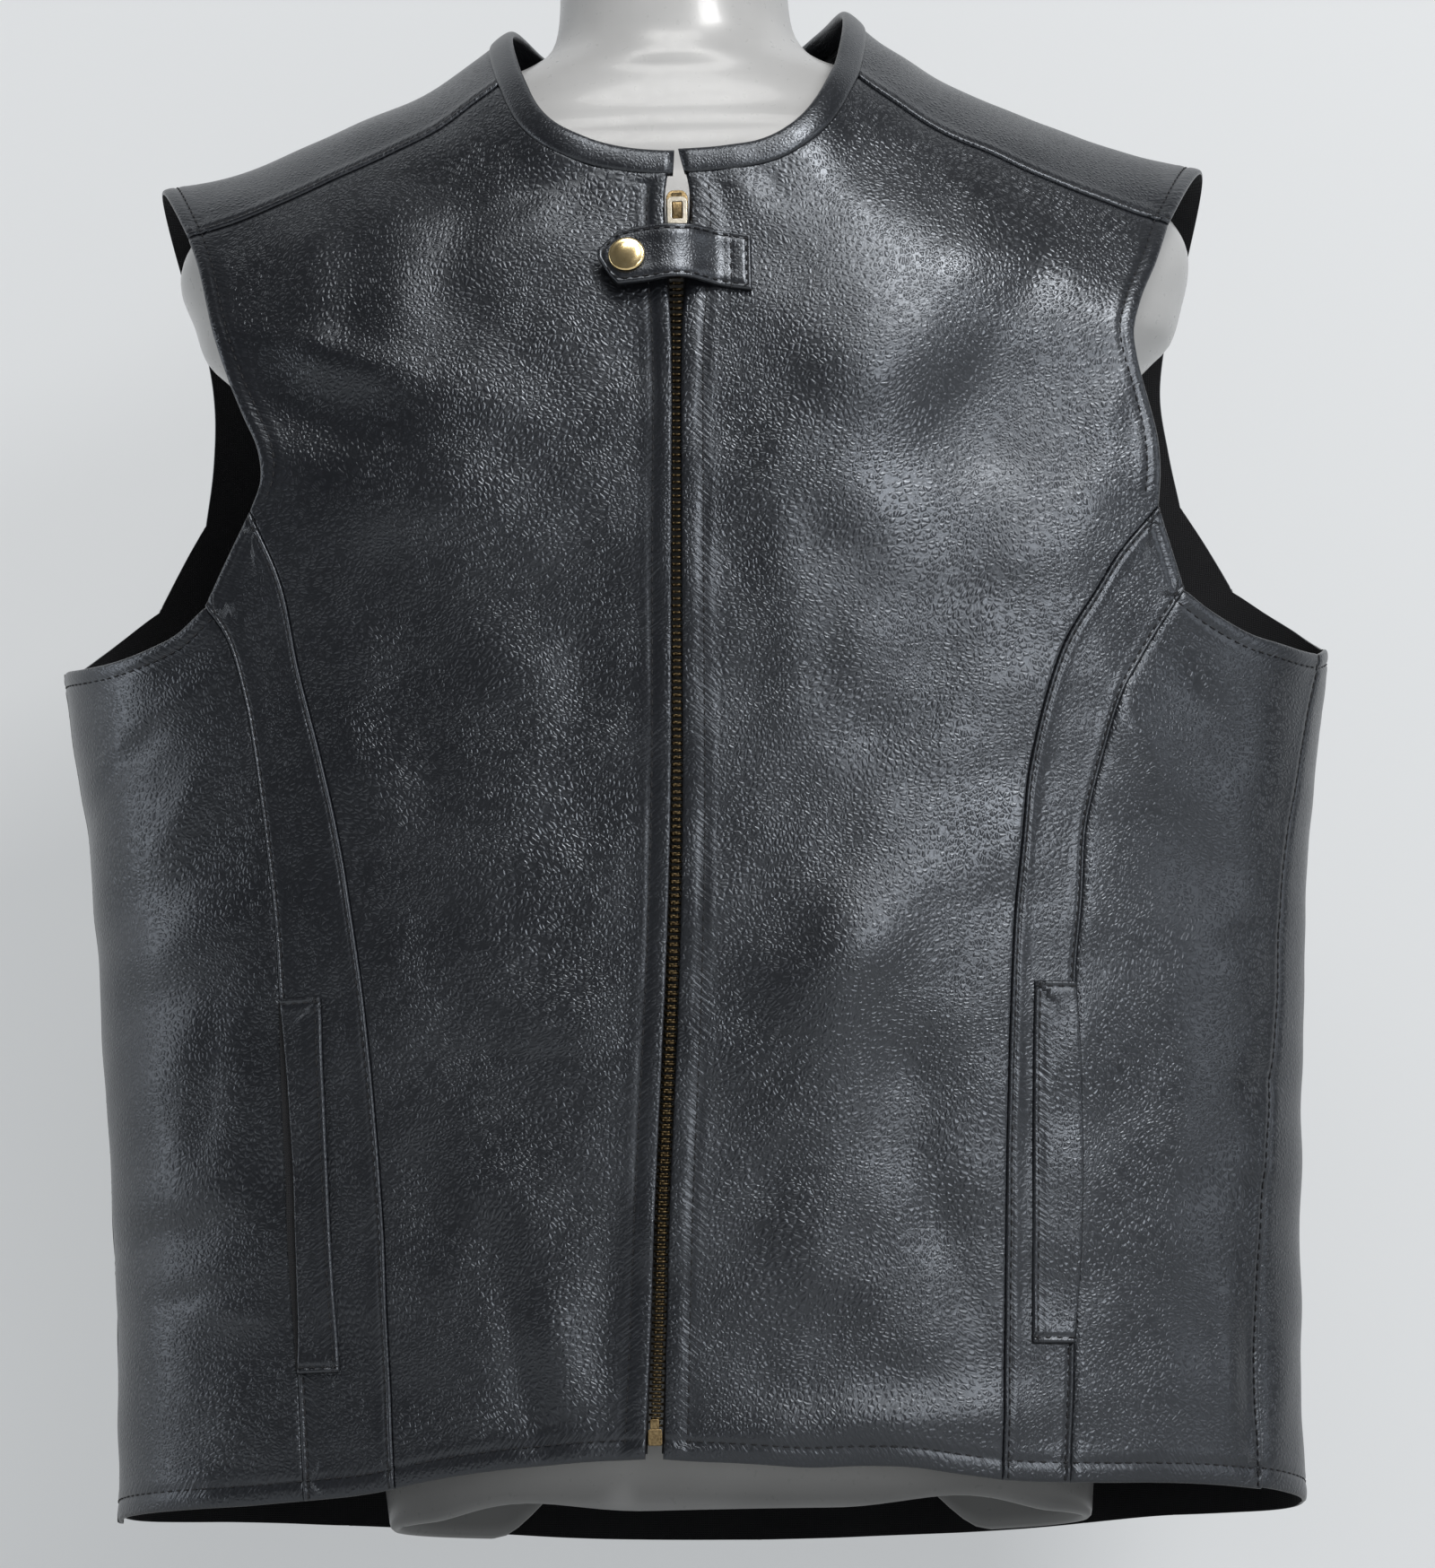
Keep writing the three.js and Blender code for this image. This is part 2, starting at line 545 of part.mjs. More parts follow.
// Closed mesh with its faces pointing out, whichever way its loops ran
function solid(positions, indices) {
  let volume = 0;
  const a = new THREE.Vector3();
  const b = new THREE.Vector3();
  const c = new THREE.Vector3();
  for (let i = 0; i < indices.length; i += 3) {
    a.fromArray(positions, indices[i] * 3);
    b.fromArray(positions, indices[i + 1] * 3);
    c.fromArray(positions, indices[i + 2] * 3);
    volume += a.dot(b.cross(c));
  }
  const order = volume > 0 ? indices : indices.reverse();
  const geometry = new THREE.BufferGeometry();
  geometry.setAttribute('position', new THREE.Float32BufferAttribute(positions, 3));
  geometry.setIndex(order);
  return mergeVertices(geometry, 1e-4);
}

function add(name, geometry, look) {
  const material = new THREE.MeshStandardMaterial(look);
  material.side = THREE.FrontSide;
  const mesh = new THREE.Mesh(geometry, material);
  mesh.name = name;
  mesh.position.set(ORIGIN_SHIFT.x, ORIGIN_SHIFT.y, 0);
  group.add(mesh);
  return mesh;
}

function bodyGrid(places) {
  return places.map((row) => row.map((place) => ({
    point: bodyPoint(place.turn, place.z),
    normal: bodyNormal(place.turn, place.z),
  })));
}

// Curves that neighbouring panels share
function seamCurve(table, face) {
  return flatCurve(placesOn(table, face));
}

function hemCurve(fromTurn, toTurn) {
  const places = shares(HEM_PLACES).map((share) => {
    const turn = fromTurn + (toTurn - fromTurn) * share;
    const x = plainPoint(turn, HEM_LEVEL).x;
    const table = Math.sin(turn) >= 0 ? HEM_FRONT : HEM_BACK;
    return { turn, z: column(table, 'x', x, 'z') };
  });
  return flatCurve(places);
}

function yokeSeamPlaces(drop, fromX, toX, face) {
  return shares(PANEL_COLUMNS).map((share) => {
    const x = fromX + (toX - fromX) * share;
    const z = column(SHOULDER_LINE, 'x', Math.abs(x), 'z') - drop;
    return { turn: turnAt(x, z, face), z, x };
  });
}

const neckEdge = { left: [], right: [] };

// Front panel: hem, zip and neck edge, strip seam and armhole, yoke seam
function frontPanel(side) {
  const sign = side === 'left' ? -1 : 1;
  const zipEdge = ZIP_LINE.map((row) => {
    const x = row.x + sign * row.gap;
    return { turn: turnAt(x, row.z, -1), z: row.z };
  });
  const neck = placesOn(NECK_FRONT[side], -1);
  zipEdge[zipEdge.length - 1] = neck[0];
  const strip = placesOn(STRIP_CENTRE_SEAM[side], -1);
  const armhole = placesOn(ARMHOLE_FRONT[side], -1).reverse();
  armhole[0] = strip[strip.length - 1];
  const neckEnd = NECK_FRONT[side][NECK_FRONT[side].length - 1];
  const yokeSeam = yokeSeamPlaces(YOKE_FRONT_DROP[side], neckEnd.x, ARMHOLE_FRONT[side][0].x, -1);
  neck[neck.length - 1] = yokeSeam[0];
  armhole[armhole.length - 1] = yokeSeam[PANEL_COLUMNS];
  const rowCount = SEAM_ROWS + UPPER_ROWS;
  const hem = hemCurve(zipEdge[0].turn, strip[0].turn);
  zipEdge[0] = hem(0);
  strip[0] = hem(1);
  const inner = joined(flatCurve(zipEdge), flatCurve(neck), (rowCount - NECK_ROWS) / rowCount);
  const outer = joined(flatCurve(strip), flatCurve(armhole), SEAM_ROWS / rowCount);
  const top = (share) => {
    const index = Math.round(share * PANEL_COLUMNS);
    return yokeSeam[index];
  };
  const places = patch(hem, top, inner, outer, shares(rowCount), shares(PANEL_COLUMNS));
  const grid = bodyGrid(places);
  for (let row = rowCount - NECK_ROWS; row <= rowCount; row += 1) {
    neckEdge[side].push({ ...grid[row][0], inward: grid[row][1].point.clone().sub(grid[row][0].point) });
  }
  add(`front_${side}`, wall(grid, 0, -LEATHER), LOOKS.leather);
}

// Narrow strip between two long seams, ending at the armhole
function stripPanel(name, centreTable, sideTable, face) {
  const centre = placesOn(centreTable, face);
  const outer = placesOn(sideTable, face);
  const hem = hemCurve(centre[0].turn, outer[0].turn);
  centre[0] = hem(0);
  outer[0] = hem(1);
  const top = flatCurve([centre[centre.length - 1], outer[outer.length - 1]]);
  const columns = shares(STRIP_COLUMNS);
  const places = patch(hem, top, flatCurve(centre), flatCurve(outer), shares(SEAM_ROWS), columns);
  add(name, wall(bodyGrid(places), 0, -LEATHER), LOOKS.leather);
}

// Side panel from a strip to the side seam, with the low part of the armhole as its top
function sidePanel(name, side, face, stripTable, armholeTable) {
  const strip = placesOn(stripTable, face);
  const seam = sideSeamPlaces(side);
  if (side === 'left' && face > 0) {
    for (const place of seam) {
      place.turn -= 2 * Math.PI;
    }
  }
  const hem = hemCurve(strip[0].turn, seam[0].turn);
  strip[0] = hem(0);
  seam[0] = hem(1);
  const low = placesOn(armholeTable, face);
  const ordered = face < 0 ? low : low.reverse();
  ordered[0] = strip[strip.length - 1];
  ordered[ordered.length - 1] = seam[seam.length - 1];
  const columns = shares(SIDE_COLUMNS);
  const sides = [flatCurve(ordered), flatCurve(strip), flatCurve(seam)];
  const places = patch(hem, ...sides, shares(SEAM_ROWS), columns);
  add(name, wall(bodyGrid(places), 0, -LEATHER), LOOKS.leather);
}

// Back panel: hem, centre seam and neck edge, strip seam and armhole, yoke seam
function backPanel(side) {
  const centre = placesOn(BACK_CENTRE_SEAM, 1);
  const neck = placesOn(NECK_BACK[side], 1);
  centre[centre.length - 1] = neck[0];
  const strip = placesOn(BACK_STRIP_CENTRE_SEAM[side], 1);
  const armhole = placesOn(ARMHOLE_BACK[side], 1);
  armhole[0] = strip[strip.length - 1];
  const neckEnd = NECK_BACK[side][NECK_BACK[side].length - 1];
  const armholeEnd = ARMHOLE_BACK[side][ARMHOLE_BACK[side].length - 1];
  const yokeSeam = yokeSeamPlaces(YOKE_BACK_DROP, neckEnd.x, armholeEnd.x, 1);
  neck[neck.length - 1] = yokeSeam[0];
  armhole[armhole.length - 1] = yokeSeam[PANEL_COLUMNS];
  const hem = hemCurve(centre[0].turn, strip[0].turn);
  centre[0] = hem(0);
  strip[0] = hem(1);
  const rowCount = SEAM_ROWS + UPPER_ROWS;
  const columnCount = PANEL_COLUMNS + BACK_NECK_COLUMNS;
  const outer = joined(flatCurve(strip), flatCurve(armhole), SEAM_ROWS / rowCount);
  const neckCurve = flatCurve(neck);
  const top = (share) => {
    const index = Math.round(share * columnCount) - BACK_NECK_COLUMNS;
    return index <= 0 ? neckCurve(index / BACK_NECK_COLUMNS + 1) : yokeSeam[index];
  };
  const places = patch(hem, top, flatCurve(centre), outer, shares(rowCount), shares(columnCount));
  const grid = bodyGrid(places);
  add(`back_${side}`, wall(grid, 0, -LEATHER), LOOKS.leather);
  const edge = [];
  for (let index = BACK_NECK_COLUMNS; index >= 0; index -= 1) {
    const node = grid[rowCount][index];
    edge.push({ ...node, inward: grid[rowCount - 1][index].point.clone().sub(node.point) });
  }
  return edge;
}

// Yoke: a narrow piece that rolls over the shoulder between front and back seams
function yokePanel(side) {
  const neckFront = NECK_FRONT[side][NECK_FRONT[side].length - 1].x;
  const neckBack = NECK_BACK[side][NECK_BACK[side].length - 1].x;
  const armFront = ARMHOLE_FRONT[side][0].x;
  const armBack = ARMHOLE_BACK[side][ARMHOLE_BACK[side].length - 1].x;
  const rollFront = rollFor(YOKE_FRONT_DROP[side]);
  const rollBack = -rollFor(YOKE_BACK_DROP);
  const ridge = YOKE_RIDGE[side];
  const grid = shares(YOKE_ROWS).map((share) => {
    const roll = rollFront + (rollBack - rollFront) * share;
    const bend = 4 * share * (1 - share);
    const straightInner = neckFront + (neckBack - neckFront) * share;
    const straightOuter = armFront + (armBack - armFront) * share;
    const inner = straightInner + (ridge.inner - (neckFront + neckBack) / 2) * bend;
    const outer = straightOuter + (ridge.outer - (armFront + armBack) / 2) * bend;
    return shares(PANEL_COLUMNS).map((across) => {
      const x = inner + (outer - inner) * across;
      if (share === 0 || share === 1) {
        const drop = share === 0 ? YOKE_FRONT_DROP[side] : YOKE_BACK_DROP;
        const z = column(SHOULDER_LINE, 'x', Math.abs(x), 'z') - drop;
        const turn = turnAt(x, z, share === 0 ? -1 : 1);
        return { point: bodyPoint(turn, z), normal: bodyNormal(turn, z) };
      }
      return { point: yokePoint(x, roll), normal: yokeNormal(x, roll) };
    });
  });
  const edge = grid.map((row) => ({ ...row[0], inward: row[1].point.clone().sub(row[0].point) }));
  add(`yoke_${side}`, wall(grid, 0, -LEATHER), LOOKS.leather);
  return edge;
}

// Folded binding swept round the neck from one zip end to the other
function collarBinding(edge) {
  const profile = [
    { up: 0.35, out: 0.5 }, { up: 2, out: 1.0 }, { up: 9.2, out: 0.8 }, { up: 10.8, out: -0.3 },
    { up: 10.4, out: -1.9 }, { up: 9, out: -2.6 }, { up: 2, out: -2.5 }, { up: 0.35, out: -2.1 },
  ];
  const positions = [];
  const indices = [];
  const count = profile.length;
  edge.forEach((node, index) => {
    const before = edge[Math.max(index - 1, 0)].point;
    const after = edge[Math.min(index + 1, edge.length - 1)].point;
    const along = after.clone().sub(before).normalize();
    const normal = node.normal.clone().addScaledVector(along, -node.normal.dot(along)).normalize();
    const up = node.inward.clone().negate();
    up.addScaledVector(along, -up.dot(along)).addScaledVector(normal, -up.dot(normal)).normalize();
    for (const corner of profile) {
      const point = node.point.clone().addScaledVector(up, corner.up).addScaledVector(normal, corner.out);
      positions.push(point.x, point.y, point.z);
    }
  });
  for (let ring = 0; ring < edge.length - 1; ring += 1) {
    for (let k = 0; k < count; k += 1) {
      const next = (k + 1) % count;
      const a = ring * count + k;
      const b = ring * count + next;
      indices.push(a, b, b + count, a, b + count, a + count);
    }
  }
  const lastRing = (edge.length - 1) * count;
  for (let k = 1; k < count - 1; k += 1) {
    indices.push(0, k + 1, k);
    indices.push(lastRing, lastRing + k, lastRing + k + 1);
  }
  add('collar_binding', solid(positions, indices), LOOKS.binding);
}

// A strip that follows the zip, between two distances from its line and two depths
function zipStrip(from, to, fromX, toX, outside, inside, steps) {
  const grid = shares(steps).map((share) => {
    const z = from + (to - from) * share;
    const centre = column(ZIP_LINE, 'z', z, 'x');
    return [fromX, toX].map((offset) => {
      const turn = turnAt(centre + offset, z, -1);
      const middle = turnAt(centre, z, -1);
      return { point: bodyPoint(turn, z), normal: bodyNormal(middle, z) };
    });
  });
  return wall(grid, outside, inside, 0);
}

function zipParts() {
  const tapeOut = -LEATHER - SEAM_GAP;
  const tapeIn = tapeOut - TAPE_THICKNESS;
  const innerEdge = CHAIN_HALF_WIDTH + SEAM_GAP;
  const tapeTop = SLIDER.bottom - 0.4;
  const tape = (from, to) => zipStrip(TAPE_BOTTOM, tapeTop, from, to, tapeOut, tapeIn, TAPE_STEPS);
  add('zip_tape_left', tape(-innerEdge - TAPE_WIDTH, -innerEdge), LOOKS.tape);
  add('zip_tape_right', tape(innerEdge, innerEdge + TAPE_WIDTH), LOOKS.tape);
  const chain = zipStrip(
    CHAIN_ENDS.bottom, CHAIN_ENDS.top, -CHAIN_HALF_WIDTH, CHAIN_HALF_WIDTH,
    CHAIN_FACE.front, CHAIN_FACE.back, CHAIN_STEPS,
  );
  add('zip_chain', chain, LOOKS.antiqueBrass);
  const box = zipStrip(
    RETAINER.bottom, RETAINER.top, -RETAINER.halfWidth, RETAINER.halfWidth,
    RETAINER.proud, RETAINER.proud - RETAINER.depth, RETAINER_STEPS,
  );
  add('zip_retainer_box', box, LOOKS.antiqueBrass);
}

// Frame of the slider and its pull: a place on the zip and how far the garment leans back there
function zipFrame(z, off) {
  const turn = turnAt(column(ZIP_LINE, 'z', z, 'x'), z, -1);
  const normal = bodyNormal(turn, z);
  return { base: bodyPoint(turn, z).addScaledVector(normal, off), lean: Math.atan2(normal.z, -normal.y) };
}

function place(geometry, base, lean) {
  geometry.rotateX(-lean);
  geometry.translate(base.x, base.y, base.z);
  const bare = geometry.clone();
  bare.deleteAttribute('normal');
  bare.deleteAttribute('uv');
  return mergeVertices(bare, 1e-4);
}

// Block drawn across and up the zip, from a depth behind its frame to one in front of it
function block(outline, behind, proud) {
  const shape = new THREE.Shape(outline.map(([across, up]) => new THREE.Vector2(across, up)));
  const geometry = new THREE.ExtrudeGeometry(shape, { depth: proud - behind, bevelEnabled: false });
  geometry.rotateX(Math.PI / 2);
  geometry.translate(0, -behind, 0);
  return geometry;
}

function slider() {
  const middle = (SLIDER.bottom + SLIDER.top) / 2;
  const half = (SLIDER.top - SLIDER.bottom) / 2;
  const wide = SLIDER.halfWidth;
  const outline = [
    [-wide * 0.72, -half], [wide * 0.72, -half], [wide, -half * 0.2], [wide, half * 0.7], [wide * 0.6, half],
    [-wide * 0.6, half], [-wide, half * 0.7], [-wide, -half * 0.2],
  ];
  const seat = zipFrame(middle, 0);
  const body = block(outline, SLIDER.behind, SLIDER.proud);
  add('zip_slider', place(body, seat.base, seat.lean), LOOKS.antiqueBrass);
  const w = PULL.halfWidth;
  const pull = [
    [-w, 0], [-w, -11], [-w * 0.62, -14], [-w * 0.62, 2 - PULL.length], [-w * 0.3, -PULL.length],
    [w * 0.3, -PULL.length], [w * 0.62, 2 - PULL.length], [w * 0.62, -14], [w, -11], [w, 0],
  ];
  const hang = zipFrame(PULL.hinge, SLIDER.proud + PULL.clear);
  const foot = zipFrame(PULL.hinge - PULL.length, SLIDER.proud + PULL.clear);
  const lean = Math.atan2(hang.base.y - foot.base.y, hang.base.z - foot.base.z);
  add('zip_pull', place(block(pull, 0, PULL.thickness), hang.base, lean), LOOKS.antiqueBrass);
}

// Snap tab: pointed strap sewn to one front, standing over the zip to its snap
function tabPlace(x, z) {
  const turn = turnAt(x, z, -1);
  return { point: bodyPoint(turn, z), normal: bodyNormal(turn, z) };
}

function snapTab() {
  const grid = TAB_OUTLINE.map((row) => shares(4).map((share) => {
    const z = row.bottom + (row.top - row.bottom) * share;
    const node = tabPlace(row.x, z);
    return { point: node.point.addScaledVector(node.normal, row.lift), normal: node.normal };
  }));
  add('snap_tab', wall(grid, TAB_THICKNESS, 0, 0), LOOKS.leather);
}

// Round piece whose axis stands on the garment
function roundPiece(profile, node) {
  const geometry = new THREE.LatheGeometry(profile, 20);
  geometry.deleteAttribute('normal');
  geometry.deleteAttribute('uv');
  const turned = new THREE.Quaternion().setFromUnitVectors(new THREE.Vector3(0, 1, 0), node.normal);
  geometry.applyQuaternion(turned);
  geometry.translate(node.point.x, node.point.y, node.point.z);
  return mergeVertices(geometry, 1e-4);
}

function tabPoint(x, z, off) {
  const node = tabPlace(x, z);
  return node.point.addScaledVector(node.normal, column(TAB_OUTLINE, 'x', x, 'lift') + off);
}

function snapParts() {
  const across = tabPoint(SNAP_PLACE.x + 4, SNAP_PLACE.z, 0).sub(tabPoint(SNAP_PLACE.x - 4, SNAP_PLACE.z, 0));
  const up = tabPoint(SNAP_PLACE.x, SNAP_PLACE.z + 4, 0).sub(tabPoint(SNAP_PLACE.x, SNAP_PLACE.z - 4, 0));
  const outward = across.cross(up).normalize();
  const node = { point: tabPoint(SNAP_PLACE.x, SNAP_PLACE.z, 0), normal: outward };
  const lift = column(TAB_OUTLINE, 'x', SNAP_PLACE.x, 'lift');
  const capBase = TAB_THICKNESS + SEAM_GAP + LAYER_CLEARANCE;
  const cap = [new THREE.Vector2(0, capBase)];
  const domeBase = capBase + CAP_RIM;
  cap.push(new THREE.Vector2(CAP_RADIUS - CAP_BEVEL, capBase));
  cap.push(new THREE.Vector2(CAP_RADIUS, domeBase));
  for (const share of [0.35, 0.65, 1]) {
    const angle = share * Math.PI / 2;
    const rise = (CAP_HEIGHT - CAP_RIM) * Math.sin(angle);
    cap.push(new THREE.Vector2(CAP_RADIUS * Math.cos(angle), domeBase + rise));
  }
  cap[cap.length - 1].x = 0;
  add('snap_cap', roundPiece(cap, node), LOOKS.polishedBrass);
  const stud = [
    new THREE.Vector2(0, STUD_FOOT - lift),
    new THREE.Vector2(STUD_RADIUS, STUD_FOOT - lift),
    new THREE.Vector2(STUD_RADIUS, -SEAM_GAP),
    new THREE.Vector2(0, -SEAM_GAP),
  ];
  add('snap_stud', roundPiece(stud, node), LOOKS.antiqueBrass);
}

// Pocket welt: a folded strip lying on the narrow strip, along its side seam
function pocketWelt(side, bottom, top) {
  const sign = side === 'left' ? 1 : -1;
  const grid = shares(12).map((share) => {
    const z = bottom + (top - bottom) * share;
    const seam = column(STRIP_SIDE_SEAM[side], 'z', z, 'x');
    return shares(2).map((across) => {
      const turn = turnAt(seam + sign * (0.6 + WELT_WIDTH * across), z, -1);
      return { point: bodyPoint(turn, z), normal: bodyNormal(turn, z) };
    });
  });
  const under = SEAM_GAP + LAYER_CLEARANCE;
  add(`pocket_welt_${side}`, wall(grid, under + WELT_RISE, under, 0), LOOKS.leather);
}

// Torso form: smooth rings, with a recess in its underside and shallow arches in its rim
function formRim(angle) {
  const degrees = THREE.MathUtils.radToDeg(angle);
  const archShare = (from, to) => {
    if (degrees <= from || degrees >= to) {
      return 0;
    }
    return Math.sin(Math.PI * (degrees - from) / (to - from)) ** 2;
  };
  const { smoothstep } = THREE.MathUtils;
  const backShare = smoothstep(degrees, 225, 250) - smoothstep(degrees, 290, 315);
  return FORM_ARCH * (archShare(28, 77) + archShare(103, 152)) + FORM_BACK_LIFT * backShare;
}

function formLimit(x, z, face) {
  const share = shoulderShare(x, z + LEATHER + FORM_CLEARANCE);
  const depth = column(SECTIONS, 'z', z, face < 0 ? 'front' : 'back');
  const reach = Math.min(Math.abs(x) / column(SECTIONS, 'z', z, 'half'), 1);
  const hold = (1 - reach ** SECTION_POWER) ** (1 / SECTION_POWER);
  return Math.max(depth * hold * share - LEATHER - FORM_CLEARANCE, 0.5);
}

function formPoint(angle, z, inset) {
  const centre = column(FORM_SECTIONS, 'z', z, 'centre');
  const half = column(FORM_SECTIONS, 'z', z, 'half') - inset;
  const face = Math.sin(angle) >= 0 ? -1 : 1;
  const depth = column(FORM_SECTIONS, 'z', z, face < 0 ? 'front' : 'back') - inset;
  const x = centre + half * signedPower(Math.cos(angle), 2 / FORM_POWER);
  const y = depth * Math.abs(Math.sin(angle)) ** (2 / FORM_POWER);
  const { bottom, top, inner } = FORM_UNDER_YOKES;
  const underCloth = z > bottom && z < top && Math.abs(x) > inner;
  const held = underCloth ? Math.min(y, formLimit(x, z, face)) : y;
  return new THREE.Vector3(x, face * held, z);
}

function torsoForm() {
  const positions = [];
  const indices = [];
  const rings = [];
  const ring = (pointAt) => {
    const start = positions.length / 3;
    for (let k = 0; k < FORM_SIDES; k += 1) {
      const point = pointAt(2 * Math.PI * k / FORM_SIDES);
      positions.push(point.x, point.y, point.z);
    }
    rings.push(start);
  };
  const centrePoint = (x, y, z) => {
    positions.push(x, y, z);
    return positions.length / 3 - 1;
  };
  ring((angle) => formPoint(angle, FORM_RECESS, FORM_WALL));
  ring((angle) => formPoint(angle, formRim(angle), FORM_WALL));
  for (const share of [0, 0.15, 0.5]) {
    ring((angle) => formPoint(angle, formRim(angle) + (FORM_RECESS - formRim(angle)) * share, 0));
  }
  for (const row of FORM_SECTIONS.slice(1)) {
    ring((angle) => formPoint(angle, row.z, 0));
  }
  const base = FORM_SECTIONS[1];
  const crown = FORM_SECTIONS[FORM_SECTIONS.length - 1];
  const floorCentre = centrePoint(base.centre, 0, FORM_RECESS);
  const crownCentre = centrePoint(crown.centre, 0, crown.z);
  for (let level = 0; level < rings.length - 1; level += 1) {
    for (let k = 0; k < FORM_SIDES; k += 1) {
      const next = (k + 1) % FORM_SIDES;
      const a = rings[level] + k;
      const b = rings[level] + next;
      const c = rings[level + 1] + next;
      const d = rings[level + 1] + k;
      indices.push(a, b, c, a, c, d);
    }
  }
  for (let k = 0; k < FORM_SIDES; k += 1) {
    const next = (k + 1) % FORM_SIDES;
    indices.push(rings[0] + next, rings[0] + k, floorCentre);
    indices.push(rings[rings.length - 1] + k, rings[rings.length - 1] + next, crownCentre);
  }
  add('torso_form', solid(positions, indices), LOOKS.form);
}

const fullEdge = {};
for (const side of ['left', 'right']) {
  frontPanel(side);
  stripPanel(`strip_front_${side}`, STRIP_CENTRE_SEAM[side], STRIP_SIDE_SEAM[side], -1);
  sidePanel(`side_front_${side}`, side, -1, STRIP_SIDE_SEAM[side], ARMHOLE_LOWER_FRONT[side]);
  sidePanel(`side_back_${side}`, side, 1, BACK_STRIP_SIDE_SEAM[side], ARMHOLE_LOWER_BACK[side]);
  stripPanel(`strip_back_${side}`, BACK_STRIP_CENTRE_SEAM[side], BACK_STRIP_SIDE_SEAM[side], 1);
  const yoke = yokePanel(side);
  const back = backPanel(side);
  fullEdge[side] = [...neckEdge[side], ...yoke.slice(1, -1), ...back];
}
collarBinding([...fullEdge.left, ...fullEdge.right.reverse().slice(1)]);
zipParts();
slider();
snapTab();
snapParts();
pocketWelt('left', 56, 212);
pocketWelt('right', 62, 212);
torsoForm();

export default group;
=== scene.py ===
# %% [markdown]
# # A black leather vest on a white torso form
# The vest is cut from flat hides: two fronts, two yokes, two backs, and narrow strips and side
# panels between them. The pieces are sewn edge to edge, turned in at the hem and armholes, and
# closed with a brass zip. Here each piece is one thin shell, and all of them lie on one shared
# surface, so that their seams meet as sewn ones do.

# %% Load the frame
import math

import bmesh
import bpy
import numpy as np
from mathutils import Matrix, Vector


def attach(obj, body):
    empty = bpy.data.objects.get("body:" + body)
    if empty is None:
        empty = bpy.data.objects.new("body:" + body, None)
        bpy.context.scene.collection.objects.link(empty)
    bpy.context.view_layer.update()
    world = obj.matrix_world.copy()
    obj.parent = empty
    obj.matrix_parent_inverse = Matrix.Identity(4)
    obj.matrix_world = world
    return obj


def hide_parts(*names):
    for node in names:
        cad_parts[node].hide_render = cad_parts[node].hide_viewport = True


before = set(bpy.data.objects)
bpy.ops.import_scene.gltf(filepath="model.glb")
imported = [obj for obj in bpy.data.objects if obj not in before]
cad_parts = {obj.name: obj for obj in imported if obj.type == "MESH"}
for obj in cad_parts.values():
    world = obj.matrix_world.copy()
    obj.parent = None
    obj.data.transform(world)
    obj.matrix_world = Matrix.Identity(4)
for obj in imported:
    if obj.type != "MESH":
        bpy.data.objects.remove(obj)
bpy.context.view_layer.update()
METRES = 0.001
ORIGIN_SHIFT = np.array([0.06, 10.57, 0.0])
STEP = 3.4
print("frame loaded:", len(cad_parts), "nodes")

# %% [markdown]
# ## The worn shape
# A worn vest is a soft tube, so its shape is a row of level sections: half a width, and a depth
# in front and behind, at each height. Listed rows and a smooth curve between them are easier
# to check than a sculpted mesh, and every panel can ask for the same point.

# %% Smooth tables
SECTION_POWER = 2.4
SHOULDER_ROLL = 130
SECTIONS = [
    (0, 248.5, 96, 90), (60, 248.5, 97, 88), (110, 250, 98.5, 87), (160, 252.5, 100, 87.5),
    (210, 255.5, 102, 89), (250, 257.5, 103, 90.5), (290, 260.5, 104, 92), (320, 264.5, 105.5, 94),
    (350, 269, 107, 96), (373, 271.5, 108.5, 97.5), (430, 274, 112, 100), (500, 274, 110.5, 99),
    (580, 274, 99, 96), (700, 274, 84, 88),
]
SHOULDER_LINE = [
    (0, 716), (45, 697), (60, 676), (70, 661), (80, 651), (92, 642), (110, 629.5),
    (130, 620.3), (160, 607), (187, 596.5), (207, 591), (240, 585),
]


def smooth(table, at, value=1, key=0):
    """Value of one column of a table, smoothed between its rows."""
    keys = np.array([row[key] for row in table], float)
    values = np.array([row[value] for row in table], float)
    if keys[-1] < keys[0]:
        keys, values = keys[::-1], values[::-1]
    at = np.clip(at, keys[0], keys[-1])
    row = np.clip(np.searchsorted(keys, at, side="right") - 1, 0, len(keys) - 2)
    before = np.maximum(row - 1, 0)
    after = np.minimum(row + 2, len(keys) - 1)
    span = keys[row + 1] - keys[row]
    t = (at - keys[row]) / span
    leave = (values[row + 1] - values[before]) / (keys[row + 1] - keys[before]) * span
    arrive = (values[after] - values[row]) / (keys[after] - keys[row]) * span
    t2, t3 = t * t, t * t * t
    return (values[row] * (2 * t3 - 3 * t2 + 1) + values[row + 1] * (3 * t2 - 2 * t3)
            + leave * (t3 - 2 * t2 + t) + arrive * (t3 - t2))


def unit(vectors):
    """Vectors made one long."""
    length = np.linalg.norm(vectors, axis=-1, keepdims=True)
    return vectors / np.maximum(length, 1e-9)


print("half width at the underarm:", round(float(smooth(SECTIONS, 373)), 1), "mm")
